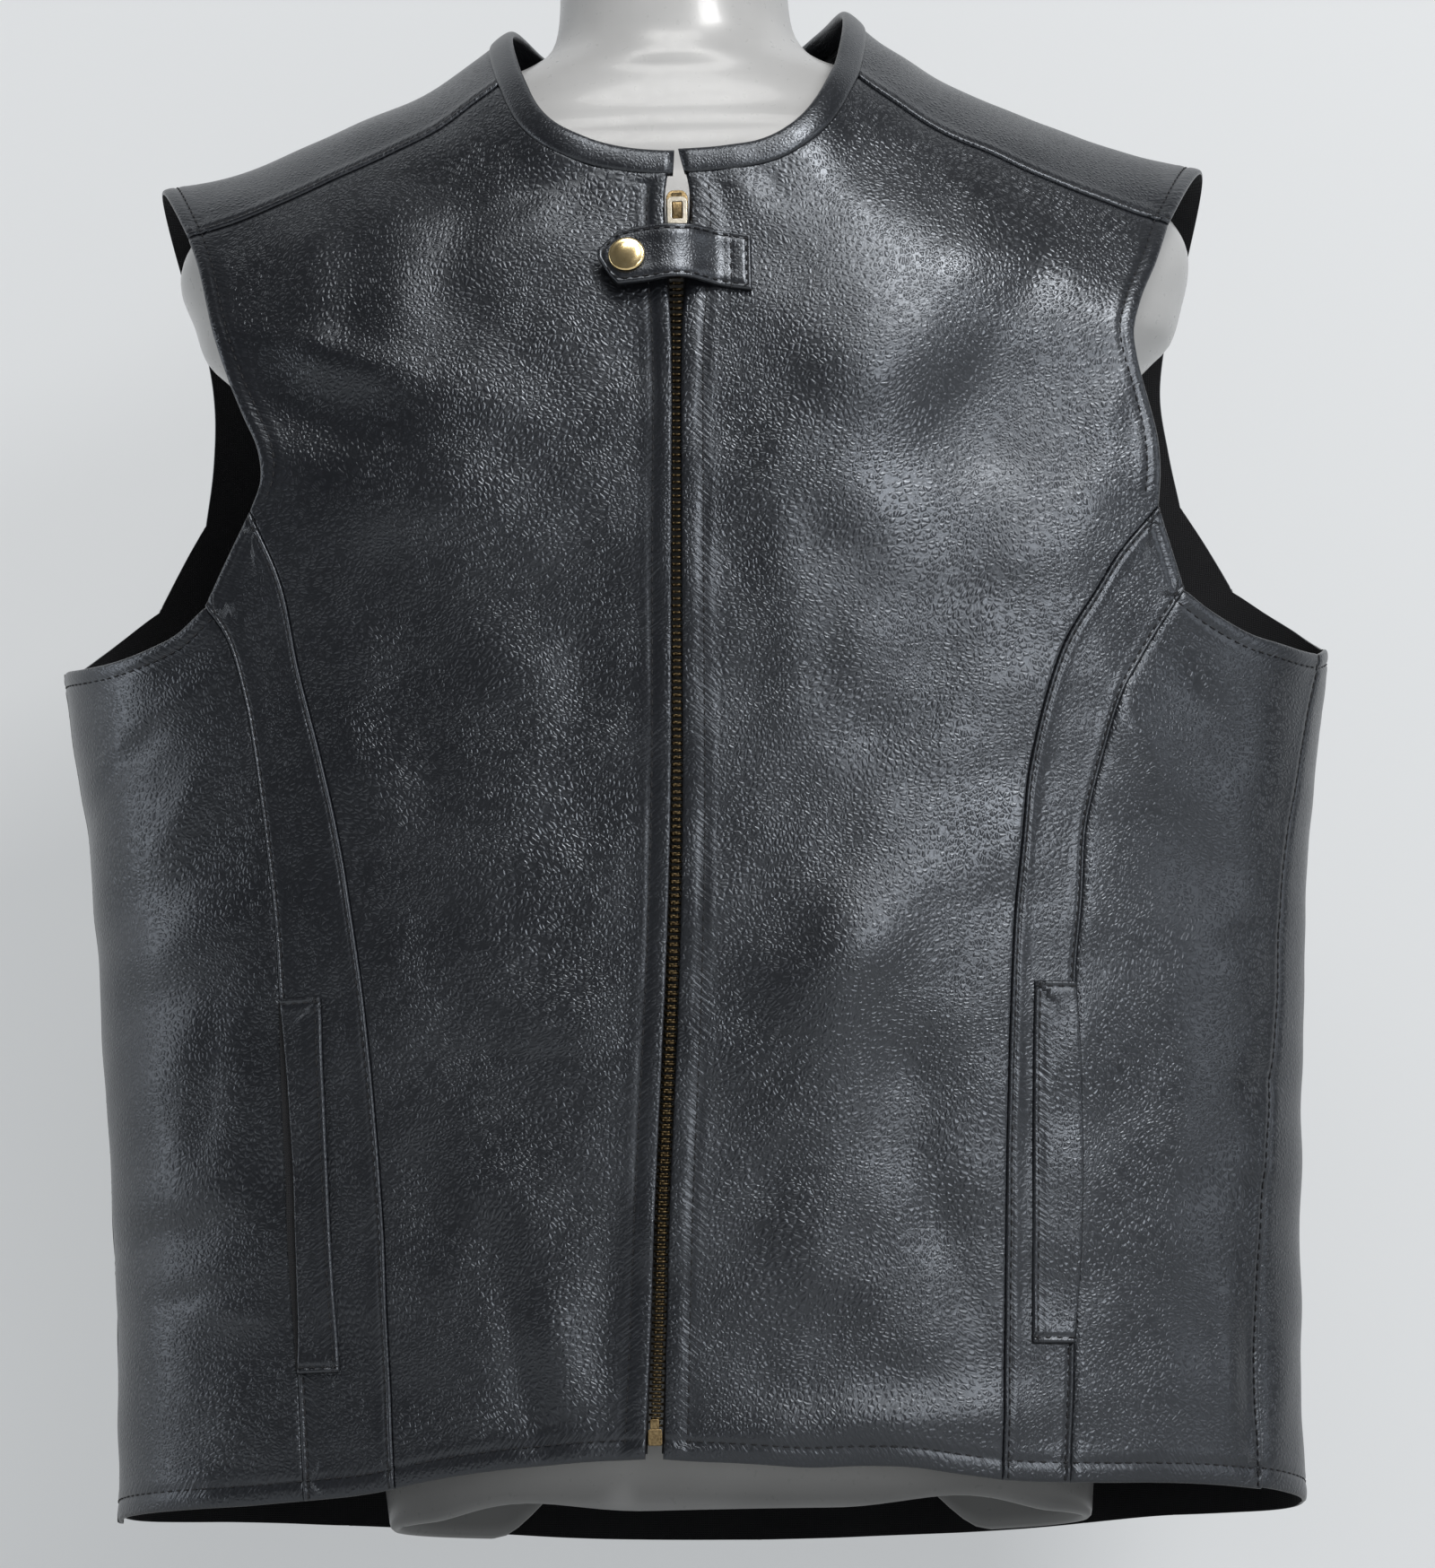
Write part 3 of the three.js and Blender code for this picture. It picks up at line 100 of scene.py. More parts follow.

# %% [markdown]
# ## Folds and creases
# Leather doesn't crumple like cotton. It bends in broad, soft rolls, and creases sharply only
# where it is pressed. Each one here is a small hill or hollow with its own place, width, length,
# lean and height, so that no two are alike.

# %% Folds listed one by one
# (face, x, z, half width, half length, lean in degrees, rise in mm)
FOLDS = [
    (-1, -178, 509, 15, 38, -8, -1.1), (-1, -160, 513, 13, 36, -4, 0.9), (-1, -142, 516, 13, 36, 2, -1.1),
    (-1, -122, 514, 14, 38, 6, 1.0), (-1, -100, 515, 14, 42, 10, -1.2), (-1, -56, 557, 8, 30, 66, -2.2),
    (-1, -108, 436, 44, 42, 30, 5.0), (-1, 130, 452, 34, 48, 58, -7.5), (-1, 78, 478, 34, 46, 10, 5.2),
    (-1, -152, 484, 9, 48, 111, 2.6), (-1, -154, 457, 16, 46, 111, -4.6),
    (-1, -77, 58, 8, 44, -12, -1.7), (-1, -62, 62, 12, 44, -12, 1.6), (-1, 62, 222, 26, 44, 24, 7.4),
    (-1, 70, 30, 12, 60, 88, 3.0), (-1, 205, 262, 24, 22, 40, -3.2), (-1, -228, 262, 16, 34, 80, -3.0),
    (-1, -232, 216, 14, 32, 96, -3.2), (-1, -228, 118, 10, 36, 92, -2.8), (1, -90, 300, 34, 80, 12, 4.0),
    (1, 96, 260, 34, 90, -10, 4.2), (1, 0, 430, 60, 26, 90, -3.6), (1, -150, 470, 20, 50, -24, -3.4),
    (1, 150, 466, 20, 52, 26, -3.2), (1, 60, 90, 26, 70, 6, -3.0),
]
CREASES = [
    (-1, -85, 184, 1.6, 22, 92, -0.7), (-1, -60, 181, 2.2, 15, 84, -0.5), (-1, 226, 60, 6, 36, 4, -1.6),
    (-1, 214, 52, 7, 30, -3, 1.4), (-1, 238, 46, 6, 26, 8, 1.2), (-1, 229, 236, 6, 12, 62, -1.5),
    (-1, 236, 176, 5, 16, 78, -1.1), (-1, 233, 140, 7, 18, 96, 0.9), (-1, -46, 549, 2.6, 15, 62, -0.8),
    (-1, -40, 541, 2.4, 12, 55, 0.6), (-1, -52, 540, 2.8, 15, 70, -0.7), (-1, 14, 550, 3.0, 14, -18, -0.6),
    (-1, 24, 552, 2.8, 15, -28, 0.6), (-1, 35, 556, 3.0, 14, -38, -0.6), (-1, -222, 340, 5, 22, 60, 1.4),
    (-1, -236, 326, 6, 26, 48, -1.5), (-1, -214, 300, 8, 26, 20, 1.2), (-1, -206, 180, 7, 34, 6, -1.2),
    (-1, -214, 92, 4, 18, 84, -1.0), (-1, -196, 84, 5, 16, 100, 0.8), (-1, -118, 330, 14, 60, -16, -1.3),
    (-1, -92, 250, 16, 52, -10, 1.3), (-1, -112, 130, 12, 44, 8, -1.2), (-1, -48, 330, 14, 66, 3, -1.1),
    (-1, 38, 380, 12, 60, -5, 1.2), (-1, 96, 350, 18, 52, 24, -1.6), (-1, 84, 160, 16, 46, -14, -1.6),
    (-1, 44, 112, 14, 40, 12, 1.2), (-1, 100, 96, 10, 34, -22, -1.2), (-1, 150, 520, 12, 32, 30, -1.4),
    (-1, 118, 530, 12, 36, 16, 1.3), (-1, 60, 440, 5, 24, 48, -0.7), (-1, 176, 452, 7, 24, 18, 1.2),
    (-1, 160, 430, 6, 24, 40, -1.2), (-1, 182, 320, 9, 34, -24, 1.3), (-1, 216, 326, 9, 26, -34, -1.5),
    (-1, 196, 150, 12, 44, 6, 1.3), (-1, -150, 300, 6, 40, -14, -0.8), (-1, -150, 160, 5, 44, -6, 0.8),
    (-1, 140, 300, 5, 38, 16, 0.8), (-1, 134, 150, 5, 46, 3, -0.7), (-1, -40, 90, 9, 38, 6, -1.1),
    (1, -200, 300, 9, 40, 18, -1.8), (1, -214, 210, 12, 34, 70, -1.8), (1, -180, 120, 10, 40, -12, 1.6),
    (1, -110, 180, 12, 46, 8, -1.6), (1, -60, 110, 11, 42, -10, 1.5), (1, -40, 240, 13, 50, 5, -1.5),
    (1, 34, 330, 12, 60, -6, 1.4), (1, 60, 200, 12, 44, 12, -1.6), (1, 110, 130, 11, 40, -14, 1.5),
    (1, 150, 240, 10, 46, 6, -1.4), (1, 205, 280, 10, 40, -22, -1.9), (1, 214, 180, 13, 30, 80, -1.7),
    (1, 190, 80, 10, 34, 6, 1.4), (1, -120, 400, 12, 44, -30, 1.5), (1, 118, 390, 12, 46, 34, 1.6),
    (1, -40, 540, 13, 32, 14, -1.3), (1, 46, 548, 12, 34, -18, -1.3), (1, 0, 590, 34, 9, 4, -1.0),
    (1, -170, 540, 10, 26, -10, -1.4), (1, 172, 536, 10, 26, 12, -1.3), (1, 0, 60, 30, 11, 88, 1.2),
]
# Slow unevenness of the hide: length of the wave in mm, direction in degrees, height in mm
HIDE_WAVES = [
    (83, 17, 0.26), (61, 71, 0.22), (47, 128, 0.17), (37, 43, 0.13), (29, 98, 0.1), (23, 155, 0.07),
]


def relief_of(rows, x, z, face):
    """Height of all the folds in a list at some places on one or both faces."""
    rise = np.zeros(np.shape(x))
    for side, at_x, at_z, half, length, lean, height in rows:
        turn = math.radians(lean)
        across = (x - at_x) * math.cos(turn) - (z - at_z) * math.sin(turn)
        along = (x - at_x) * math.sin(turn) + (z - at_z) * math.cos(turn)
        hill = height * np.exp(-((across / half) ** 2) - (along / length) ** 2)
        rise += np.where(face * side > 0, hill, 0.0)
    return rise


def hide_unevenness(x, z, face):
    """Slow waves that keep the leather from looking like sheet metal."""
    rise = np.zeros(np.shape(x))
    for index, (length, direction, height) in enumerate(HIDE_WAVES):
        turn = math.radians(direction)
        run = x * math.cos(turn) + z * math.sin(turn) + 31.0 * index * (face + 2)
        sway = 9.0 * np.sin(z / (1.9 * length) + 1.7 * index)
        rise += height * np.sin(2 * math.pi * (run + sway) / length)
    return rise


print("folds and creases:", len(FOLDS) + len(CREASES))

# %% [markdown]
# ## Points on the cloth
# A place is an angle round the body and a height. The section gives the plain point, the
# shoulder's roll pulls it in near the top, and the folds move it along its own normal.

# %% Surface of the garment
TURN_STEP = 0.02
# The folds fade out where the body turns this far to its sides
FOLD_FADE = 0.35


def signed_power(value, power):
    """Power that keeps the sign."""
    return np.sign(value) * np.abs(value) ** power


def turn_at(x, z, face):
    """Angle round the body for a distance from the centre."""
    reach = np.minimum(np.abs(x) / smooth(SECTIONS, z), 1)
    turn = np.arccos(np.sign(x) * reach ** (SECTION_POWER / 2))
    return turn if face < 0 else -turn


def plain_point(turn, z):
    """Point of the garment without its folds."""
    front = np.sin(turn) >= 0
    x = smooth(SECTIONS, z) * signed_power(np.cos(turn), 2 / SECTION_POWER)
    depth = np.where(front, smooth(SECTIONS, z, 2), smooth(SECTIONS, z, 3))
    held = np.clip((smooth(SHOULDER_LINE, np.abs(x)) - z) / SHOULDER_ROLL, 0, 1)
    share = np.sqrt(1 - (1 - held) ** 2)
    y = np.where(front, -1, 1) * depth * np.abs(np.sin(turn)) ** (2 / SECTION_POWER) * share
    return np.stack([x, y, z + 0 * x], axis=-1)


def normal_of(point, turn, z, turn_step, z_step):
    """Outward direction of a surface by small steps."""
    side = point(turn + turn_step, z) - point(turn - turn_step, z)
    up = point(turn, z + z_step) - point(turn, z - z_step)
    return unit(np.cross(up, side))


def body_point(turn, z):
    """Point of the garment with its folds and creases."""
    plain = plain_point(turn, z)
    face = np.where(np.sin(turn) >= 0, -1, 1)
    near = np.minimum(np.abs(np.sin(turn)) / FOLD_FADE, 1)
    rise = relief_of(FOLDS + CREASES, plain[..., 0], z, face) * near
    rise += hide_unevenness(plain[..., 0], z, face)
    return plain + normal_of(plain_point, turn, z, 0.004, 1.0) * rise[..., None]


def body_normal(turn, z):
    """Outward direction of the folded garment."""
    return normal_of(body_point, turn, z, TURN_STEP, 2.0)


# %% Points over the shoulder
def yoke_point(x, roll):
    """Point over the shoulder: roll 0 on the shoulder line, positive to the front."""
    z = smooth(SHOULDER_LINE, np.abs(x)) - SHOULDER_ROLL * (1 - np.cos(roll))
    depth = np.where(roll > 0, smooth(SECTIONS, z, 2), smooth(SECTIONS, z, 3))
    reach = np.minimum(np.abs(x) / smooth(SECTIONS, z), 1)
    share = (1 - reach ** SECTION_POWER) ** (1 / SECTION_POWER)
    return np.stack([x, -depth * share * np.sin(roll), z], axis=-1)


def yoke_normal(x, roll):
    """Outward direction over the shoulder."""
    across = yoke_point(x + 2, roll) - yoke_point(x - 2, roll)
    over = yoke_point(x, roll + TURN_STEP) - yoke_point(x, roll - TURN_STEP)
    return unit(np.cross(over, across))


print("front of the chest:", np.round(body_point(math.pi / 2, np.array(430.0)), 1), "mm")

# %% [markdown]
# ## Cutting lines
# The tables below are the pattern's cutting lines, as distances from the centre at each height.
# A centripetal curve through the points can't loop back on itself, which matters at the armhole,
# and it is read by its length so that the rows of a panel stay evenly spaced.

# %% Lines of the pattern
# Left and right are the viewer's
SIDES = ("left", "right")
HEM_FRONT = [
    (-260, 8), (-246, 5.5), (-197, 4), (-168, 4.4), (-140, 6), (-107, 11.5), (-70, 15), (-20, 16.5),
    (39, 12), (75, 12.2), (118, 6.5), (148, 5.5), (205, 6), (260, 4),
]
HEM_BACK = [
    (-260, 8), (-207, 11.5), (-157, 11), (-124, 9.5), (-55, 5), (21, 3), (66, 3.4), (132, 4.6),
    (160, 6), (198, 7.4), (260, 4),
]
# (z, x, half the gap between the fronts)
ZIP_LINE = [
    (14, -23, 3.6), (23, -22.6, 3.6), (66, -20.4, 3.1), (118, -18, 2.9), (210, -12.4, 2.7),
    (285, -9.2, 2.3), (398, -7.2, 2.0), (490, -5.6, 2.2), (520, -5, 4.6), (535, -4.7, 5.1),
    (552, -4.2, 5.1), (560, -4.3, 3.8),
]
# The seams are (z, x) rows from the hem up
STRIP_CENTRE_SEAM = {
    "left": [
        (7, -128.8), (66, -131), (133, -133.5), (210, -139.9), (273, -148.7), (322, -159),
        (351, -166), (386, -172.6), (419, -186),
    ],
    "right": [
        (6.5, 118.5), (70, 121.3), (158, 124.8), (228, 128.9), (273, 134), (303, 138), (340, 148),
        (359, 156), (377, 167.6), (395, 179), (415, 196),
    ],
}
STRIP_SIDE_SEAM = {
    "left": [
        (5, -166.6), (55, -168.5), (111, -171.8), (183, -174.3), (231, -176.2), (289, -181.8),
        (336, -188.3), (366, -196.5), (380.5, -205.6),
    ],
    "right": [
        (6, 146.4), (59, 149.5), (213, 154.7), (247, 158.3), (277, 161), (304, 167.8), (334, 177.4),
        (348, 185.4), (365, 195.8), (380, 205.5),
    ],
}
BACK_CENTRE_SEAM = [(3, 21), (150, 14), (350, 6), (500, 1), (648, -2)]
BACK_STRIP_CENTRE_SEAM = {
    "left": [(9, -124), (120, -127), (230, -140), (330, -163), (400, -188), (455, -217)],
    "right": [(6, 160), (120, 155), (230, 155), (330, 168), (400, 190), (455, 216)],
}
BACK_STRIP_SIDE_SEAM = {
    "left": [(11, -157), (120, -163), (230, -177), (330, -201), (380, -219), (413, -237)],
    "right": [(7.4, 197.6), (120, 191), (230, 191), (330, 206), (380, 222), (413, 237)],
}
# (z, degrees round from the wearer's left side towards the front)
SIDE_SEAM = {
    "left": [(6, 181), (200, 180), (371, 179)],
    "right": [(5, 26), (117, 24), (208, 20), (254, 19), (363, 12)],
}
# The armhole and neck edges are (x, z) rows
ARMHOLE_FRONT = {
    "left": [
        (-215, 551), (-210, 535), (-205, 512), (-197, 481), (-190, 462), (-183, 446),
        (-181.4, 432), (-186, 419),
    ],
    "right": [
        (206, 547.5), (199, 525.6), (192, 508), (188, 492), (189, 481), (193, 462.6),
        (196.4, 445), (197, 430), (196, 415),
    ],
}
ARMHOLE_LOWER_FRONT = {
    "left": [
        (-205.6, 380.5), (-218.6, 370.6), (-228.4, 367), (-238.8, 364.5), (-250, 363.5),
        (-262, 365), (-271.3, 371),
    ],
    "right": [(205.5, 380), (217, 372), (233.4, 364.4), (248, 362), (258, 361.5), (266, 363)],
}
ARMHOLE_LOWER_BACK = {
    "left": [(-271.3, 371), (-268, 379), (-261, 388), (-252, 398), (-237, 413)],
    "right": [(271, 372), (268, 381), (261, 390), (251, 400), (237, 413)],
}
ARMHOLE_BACK = {
    "left": [(-217, 455), (-213.5, 483), (-212.5, 507), (-215, 527), (-221, 548), (-224, 557)],
    "right": [(216, 455), (211.5, 480), (208.5, 507), (212, 532), (217, 548), (220, 558)],
}
NECK_FRONT = {
    "left": [
        (-8.1, 560), (-20, 561), (-37, 564.5), (-51.5, 570), (-63, 578), (-72, 590.5), (-80, 609),
    ],
    "right": [(-0.5, 560.5), (20, 562), (37, 565.5), (52, 574.5), (62.6, 587), (74, 605)],
}
NECK_BACK = {
    "left": [(-2, 661), (-20, 660.5), (-38, 657.5), (-50, 654), (-58, 649)],
    "right": [(-2, 661), (16, 660.5), (34, 657.5), (46, 654), (54, 650)],
}
YOKE_RIDGE = {"left": (-82, -230), "right": (76, 225)}
YOKE_FRONT_DROP = {"left": 38, "right": 44}
YOKE_BACK_DROP = 30

# %% Curves through the pattern's points
ARC_RADIUS = 190
CURVE_SAMPLES = 24


def centripetal(points):
    """Dense points of a smooth curve through given ones."""
    points = np.array(points, float)
    ends = np.vstack([2 * points[0] - points[1], points, 2 * points[-1] - points[-2]])
    t = np.linspace(0, 1, CURVE_SAMPLES, endpoint=False)[:, None]
    pieces = []
    for index in range(len(points) - 1):
        a, b, c, d = ends[index:index + 4]
        ab, bc, cd = (max(np.linalg.norm(q - p) ** 0.5, 1e-4) for p, q in ((a, b), (b, c), (c, d)))
        leave = ((b - a) / ab - (c - a) / (ab + bc) + (c - b) / bc) * bc
        arrive = ((c - b) / bc - (d - b) / (bc + cd) + (d - c) / cd) * bc
        pieces.append((2 * t ** 3 - 3 * t ** 2 + 1) * b + (t ** 3 - 2 * t ** 2 + t) * leave
                      + (3 * t ** 2 - 2 * t ** 3) * c + (t ** 3 - t ** 2) * arrive)
    return np.vstack(pieces + [points[-1:]])


def flat_curve(places):
    """Curve on the unrolled body, read by the share of its length."""
    dense = centripetal([(turn * ARC_RADIUS, z) for turn, z in places])
    run = np.concatenate([[0], np.cumsum(np.linalg.norm(np.diff(dense, axis=0), axis=1))])
    run /= run[-1]

    def at(share):
        turn = np.interp(share, run, dense[:, 0]) / ARC_RADIUS
        return np.stack([turn, np.interp(share, run, dense[:, 1])], axis=-1)

    return at


def joined(first, second, share):
    """Two curves one after the other, the first taking a share of the rows."""
    def at(along):
        low = first(np.clip(along / share, 0, 1))
        high = second(np.clip((along - share) / (1 - share), 0, 1))
        return np.where((along <= share)[..., None], low, high)

    return at


def by_height(table, face):
    """Places from (z, x) rows."""
    return [(float(turn_at(np.float64(x), z, face)), z) for z, x in table]


def by_width(table, face):
    """Places from (x, z) rows."""
    return [(float(turn_at(np.float64(x), z, face)), z) for x, z in table]


def hem_line(table_front, table_back, start, end):
    """Hem between two angles, from the front or back table as it runs."""
    places = []
    for share in np.linspace(0, 1, 7):
        turn = start + (end - start) * share
        x = plain_point(np.array(turn), np.array(6.0))[0]
        table = table_front if math.sin(turn) >= 0 else table_back
        places.append((turn, float(smooth(table, x))))
    return flat_curve(places)


def coons(bottom, top, left, right, rows, columns):
    """Places between four boundary curves."""
    u, v = columns[None, :, None], rows[:, None, None]
    corners = [bottom(np.array(0.0)), bottom(np.array(1.0)), top(np.array(0.0)), top(np.array(1.0))]
    across = (1 - v) * bottom(columns)[None] + v * top(columns)[None]
    along = (1 - u) * left(rows)[:, None] + u * right(rows)[:, None]
    twice = ((1 - u) * (1 - v) * corners[0] + u * (1 - v) * corners[1]
             + (1 - u) * v * corners[2] + u * v * corners[3])
    return across + along - twice


print("pattern lines ready")

# %% [markdown]
# ## From a grid to a sewn piece
# Leather edges are never sharp: they are skived thin, turned and hammered flat, and the stitch
# line pulls a small groove beside them. So the grid is closer near its edges, and each edge gets
# its own profile: rolled over, with a groove where it is sewn, and puffed up between the two.
# A wall of leather follows from a second copy of the grid, one thickness further in.

# %% Edge profiles
LEATHER = 1.8
EDGE_ROWS = [0, 0.3, 0.7, 1.2, 1.8, 2.6, 3.6, 4.8, 6.2, 7.6, 9.0, 10.6]
# The left front's band rises to the zip, which keeps it in shade
ZIP_BAND_TILT = 1.4
# Heights and half widths in mm of the edge's roll, of the stitches' groove and of the leather that
# puffs up beyond it
ROLL_HEIGHT, ROLL_REACH = 0.85, 1.5
UNDER_DEPTH, UNDER_REACH = 0.55, 2.2
GROOVE_DEPTH, GROOVE_HALF = 0.5, 0.75
PUFF_HEIGHT = 0.4
BEYOND_HEIGHT, BEYOND_AWAY, BEYOND_HALF = 0.22, 2.4, 1.8
# An edge that lies over another one stands a little higher
OVERLAP_LIFT = {"lap": 0.2, "yoke": 0.5}
OVERLAP_REACH = 3.2
# Share of an edge's length over which one kind of edge passes into the next
KIND_BLEND = 0.012
# How far each kind of edge is sewn in, in mm
STITCH_IN = {"hem": 8.0, "armhole": 6.5, "zip_left": 8.6, "zip_right": 9.8, "lap": 2.4, "yoke": 2.6}


def edge_relief(kind, d):
    """Height of the leather at a distance from an edge of this kind."""
    rounding = np.clip(1 - d / ROLL_REACH, 0, 1)
    roll = -ROLL_HEIGHT * (1 - np.sqrt(1 - rounding ** 2))
    if kind == "under":
        return roll * 0.5 - UNDER_DEPTH * np.exp(-((d / UNDER_REACH) ** 2))
    if kind in ("seam", "neck"):
        return roll * 0.8
    sewn = STITCH_IN[kind]
    groove = -GROOVE_DEPTH * np.exp(-(((d - sewn) / GROOVE_HALF) ** 2))
    puff = PUFF_HEIGHT * np.exp(-(((d - sewn * 0.5) / (sewn * 0.38)) ** 2))
    beyond = BEYOND_HEIGHT * np.exp(-(((d - sewn - BEYOND_AWAY) / BEYOND_HALF) ** 2))
    lift = OVERLAP_LIFT.get(kind, 0) * np.exp(-((d / OVERLAP_REACH) ** 2))
    turned_up = ZIP_BAND_TILT * np.clip(1 - d / sewn, 0, 1) if kind == "zip_left" else 0
    return roll + groove + puff + beyond + lift + turned_up


def edge_shares(length, breaks=(0.0, 1.0)):
    """Shares of a length with close rows at both ends, and one at each break."""
    near = np.array(EDGE_ROWS) / length
    found = [near, 1 - near[::-1]]
    inner = [near[-1]] + [b for b in breaks if 0 < b < 1] + [1 - near[-1]]
    for low, high in zip(inner[:-1], inner[1:]):
        count = max(int(round((high - low) * length / STEP)), 1)
        found.append(np.linspace(low, high, count + 1))
    return np.unique(np.round(np.concatenate(found), 6))


def kind_masks(kinds, rows):
    """Each kind of edge with how fully it holds at every row."""
    masks = []
    for low, high, kind in kinds:
        rise = 1 if low <= 0 else np.clip((rows - low) / KIND_BLEND, 0, 1)
        fall = 1 if high >= 1 else np.clip((high - rows) / KIND_BLEND + 1, 0, 1)
        masks.append((kind, rise * fall * np.ones_like(rows)))
    return masks


# %% Measuring a grid
def along_grid(points, axis):
    """Distance run along the grid lines of one axis."""
    steps = np.linalg.norm(np.diff(points, axis=axis), axis=-1)
    zero = np.zeros_like(np.take(steps, [0], axis=axis))
    return np.concatenate([zero, np.cumsum(steps, axis=axis)], axis=axis)


def sewn_grid(points, normals, rows, columns, edges):
    """Grid with its edge profiles, and what the stitches and the material need to know."""
    across, up = along_grid(points, 1), along_grid(points, 0)
    distance = {
        "left": across, "right": across[:, -1:] - across,
        "bottom": up, "top": up[-1:] - up,
    }
    rise = np.zeros(across.shape)
    pull = np.zeros(across.shape + (3,))
    for edge, d in distance.items():
        upright = edge in ("left", "right")
        for kind, held in kind_masks(edges.get(edge, [(0, 1, "seam")]), rows if upright else columns):
            weight = held[:, None] if upright else held[None, :]
            rise += edge_relief(kind, d) * weight
            if kind in STITCH_IN:
                off = d - STITCH_IN[kind]
                near = np.exp(-((off / 5.5) ** 2)) * weight
                run = (up if upright else across) + 0.7 * off
                closer = near > pull[..., 2]
                pull[closer] = np.stack([run, off, near], axis=-1)[closer]
    outer = points + normals * rise[..., None]
    return {"plain": points, "outer": outer, "normals": normals, "distance": distance,
            "rows": rows, "columns": columns, "pull": pull}


# %% Making a mesh
def in_frame(points):
    """Millimetres on the garment to metres in the scene."""
    return (np.asarray(points, float) + ORIGIN_SHIFT) * METRES


def new_object(name, vertices, faces, materials, face_slots=None):
    """Mesh object at the origin with its place in its vertices."""
    mesh = bpy.data.meshes.new(name)
    mesh.from_pydata([tuple(v) for v in vertices], [], [tuple(int(i) for i in f) for f in faces])
    for material in materials:
        mesh.materials.append(material)
    if face_slots is not None:
        mesh.polygons.foreach_set("material_index", np.asarray(face_slots, np.int32))
    mesh.polygons.foreach_set("use_smooth", np.full(len(mesh.polygons), True))
    mesh.validate()
    mesh.update()
    found = bpy.data.objects.new(name, mesh)
    bpy.context.scene.collection.objects.link(found)
    return found


def grid_faces(rows, columns, start=0):
    """Quads of a grid as rows of four indices."""
    i, j = np.meshgrid(np.arange(rows - 1), np.arange(columns - 1), indexing="ij")
    a = (start + i * columns + j).ravel()
    return np.stack([a, a + 1, a + columns + 1, a + columns], axis=1)


def ring_faces(rings, sides):
    """Quads between closed rings that all have the same number of points."""
    faces = []
    for ring in range(rings - 1):
        low, high = ring * sides, (ring + 1) * sides
        for k in range(sides):
            after = (k + 1) % sides
            faces.append((low + k, low + after, high + after, high + k))
    return faces


def shell(name, grid, outside, inside, materials):
    """Closed wall between a grid moved out and the plain grid moved in."""
    rows, columns = grid["outer"].shape[:2]
    outer = grid["outer"] + grid["normals"] * outside
    inner = grid["plain"] + grid["normals"] * inside
    vertices = in_frame(np.concatenate([outer.reshape(-1, 3), inner.reshape(-1, 3)]))
    layer = rows * columns
    front = grid_faces(rows, columns)
    back = grid_faces(rows, columns, layer)[:, ::-1]
    index = np.arange(layer).reshape(rows, columns)
    rim = np.concatenate([index[0, :], index[1:, -1], index[-1, -2::-1], index[-2:0:-1, 0]])
    after = np.roll(rim, -1)
    side = np.stack([rim, rim + layer, after + layer, after], axis=1)
    faces = np.concatenate([front, back, side])
    a, b, c = (vertices[front[:, k]] for k in (0, 1, 2))
    facing = np.einsum("ij,ij->i", np.cross(b - a, c - a), grid["normals"][:-1, :-1].reshape(-1, 3)).sum()
    if facing < 0:
        faces = faces[:, ::-1]
    slots = np.concatenate([np.zeros(len(front)), np.ones(len(back)), np.zeros(len(side))])
    found = new_object(name, vertices, faces, materials, slots)
    pull = found.data.attributes.new("stitch_pull", "FLOAT_VECTOR", "POINT")
    pull.data.foreach_set("vector", np.concatenate([grid["pull"].reshape(-1, 3)] * 2).ravel())
    return found


print("edge rows:", len(EDGE_ROWS), "step:", STEP, "mm")

# %% [markdown]
# ## Finishes
# The hide is dyed through and finished with a thin satin coat, so its colour hardly varies. What
# reads as leather is the grain: small raised pebbles that break every highlight into sparks. It
# is used by several materials, so it is one node group, which gives a height and a wear value.

# %% Helpers for shader nodes
def node(tree, kind, x=0, y=0, **settings):
    """Node with its settings, placed for reading."""
    made = tree.nodes.new(kind)
    made.location = (x, y)
    for name, value in settings.items():
        setattr(made, name, value)
    return made


def new_group(name, inputs, outputs):
    """Shader node group with named sockets."""
    group = bpy.data.node_groups.new(name, "ShaderNodeTree")
    for label, kind, value in inputs:
        socket = group.interface.new_socket(name=label, in_out="INPUT", socket_type=kind)
        if value is not None:
            socket.default_value = value
    for label, kind in outputs:
        group.interface.new_socket(name=label, in_out="OUTPUT", socket_type=kind)
    return group, node(group, "NodeGroupInput", -900), node(group, "NodeGroupOutput", 900)


def maths(tree, operation, first, second=None, x=0, y=0):
    """Math node whose inputs are sockets or numbers."""
    made = node(tree, "ShaderNodeMath", x, y, operation=operation)
    for index, value in enumerate((first, second)):
        if value is None:
            continue
        if hasattr(value, "is_output"):
            tree.links.new(value, made.inputs[index])
        else:
            made.inputs[index].default_value = value
    return made.outputs[0]


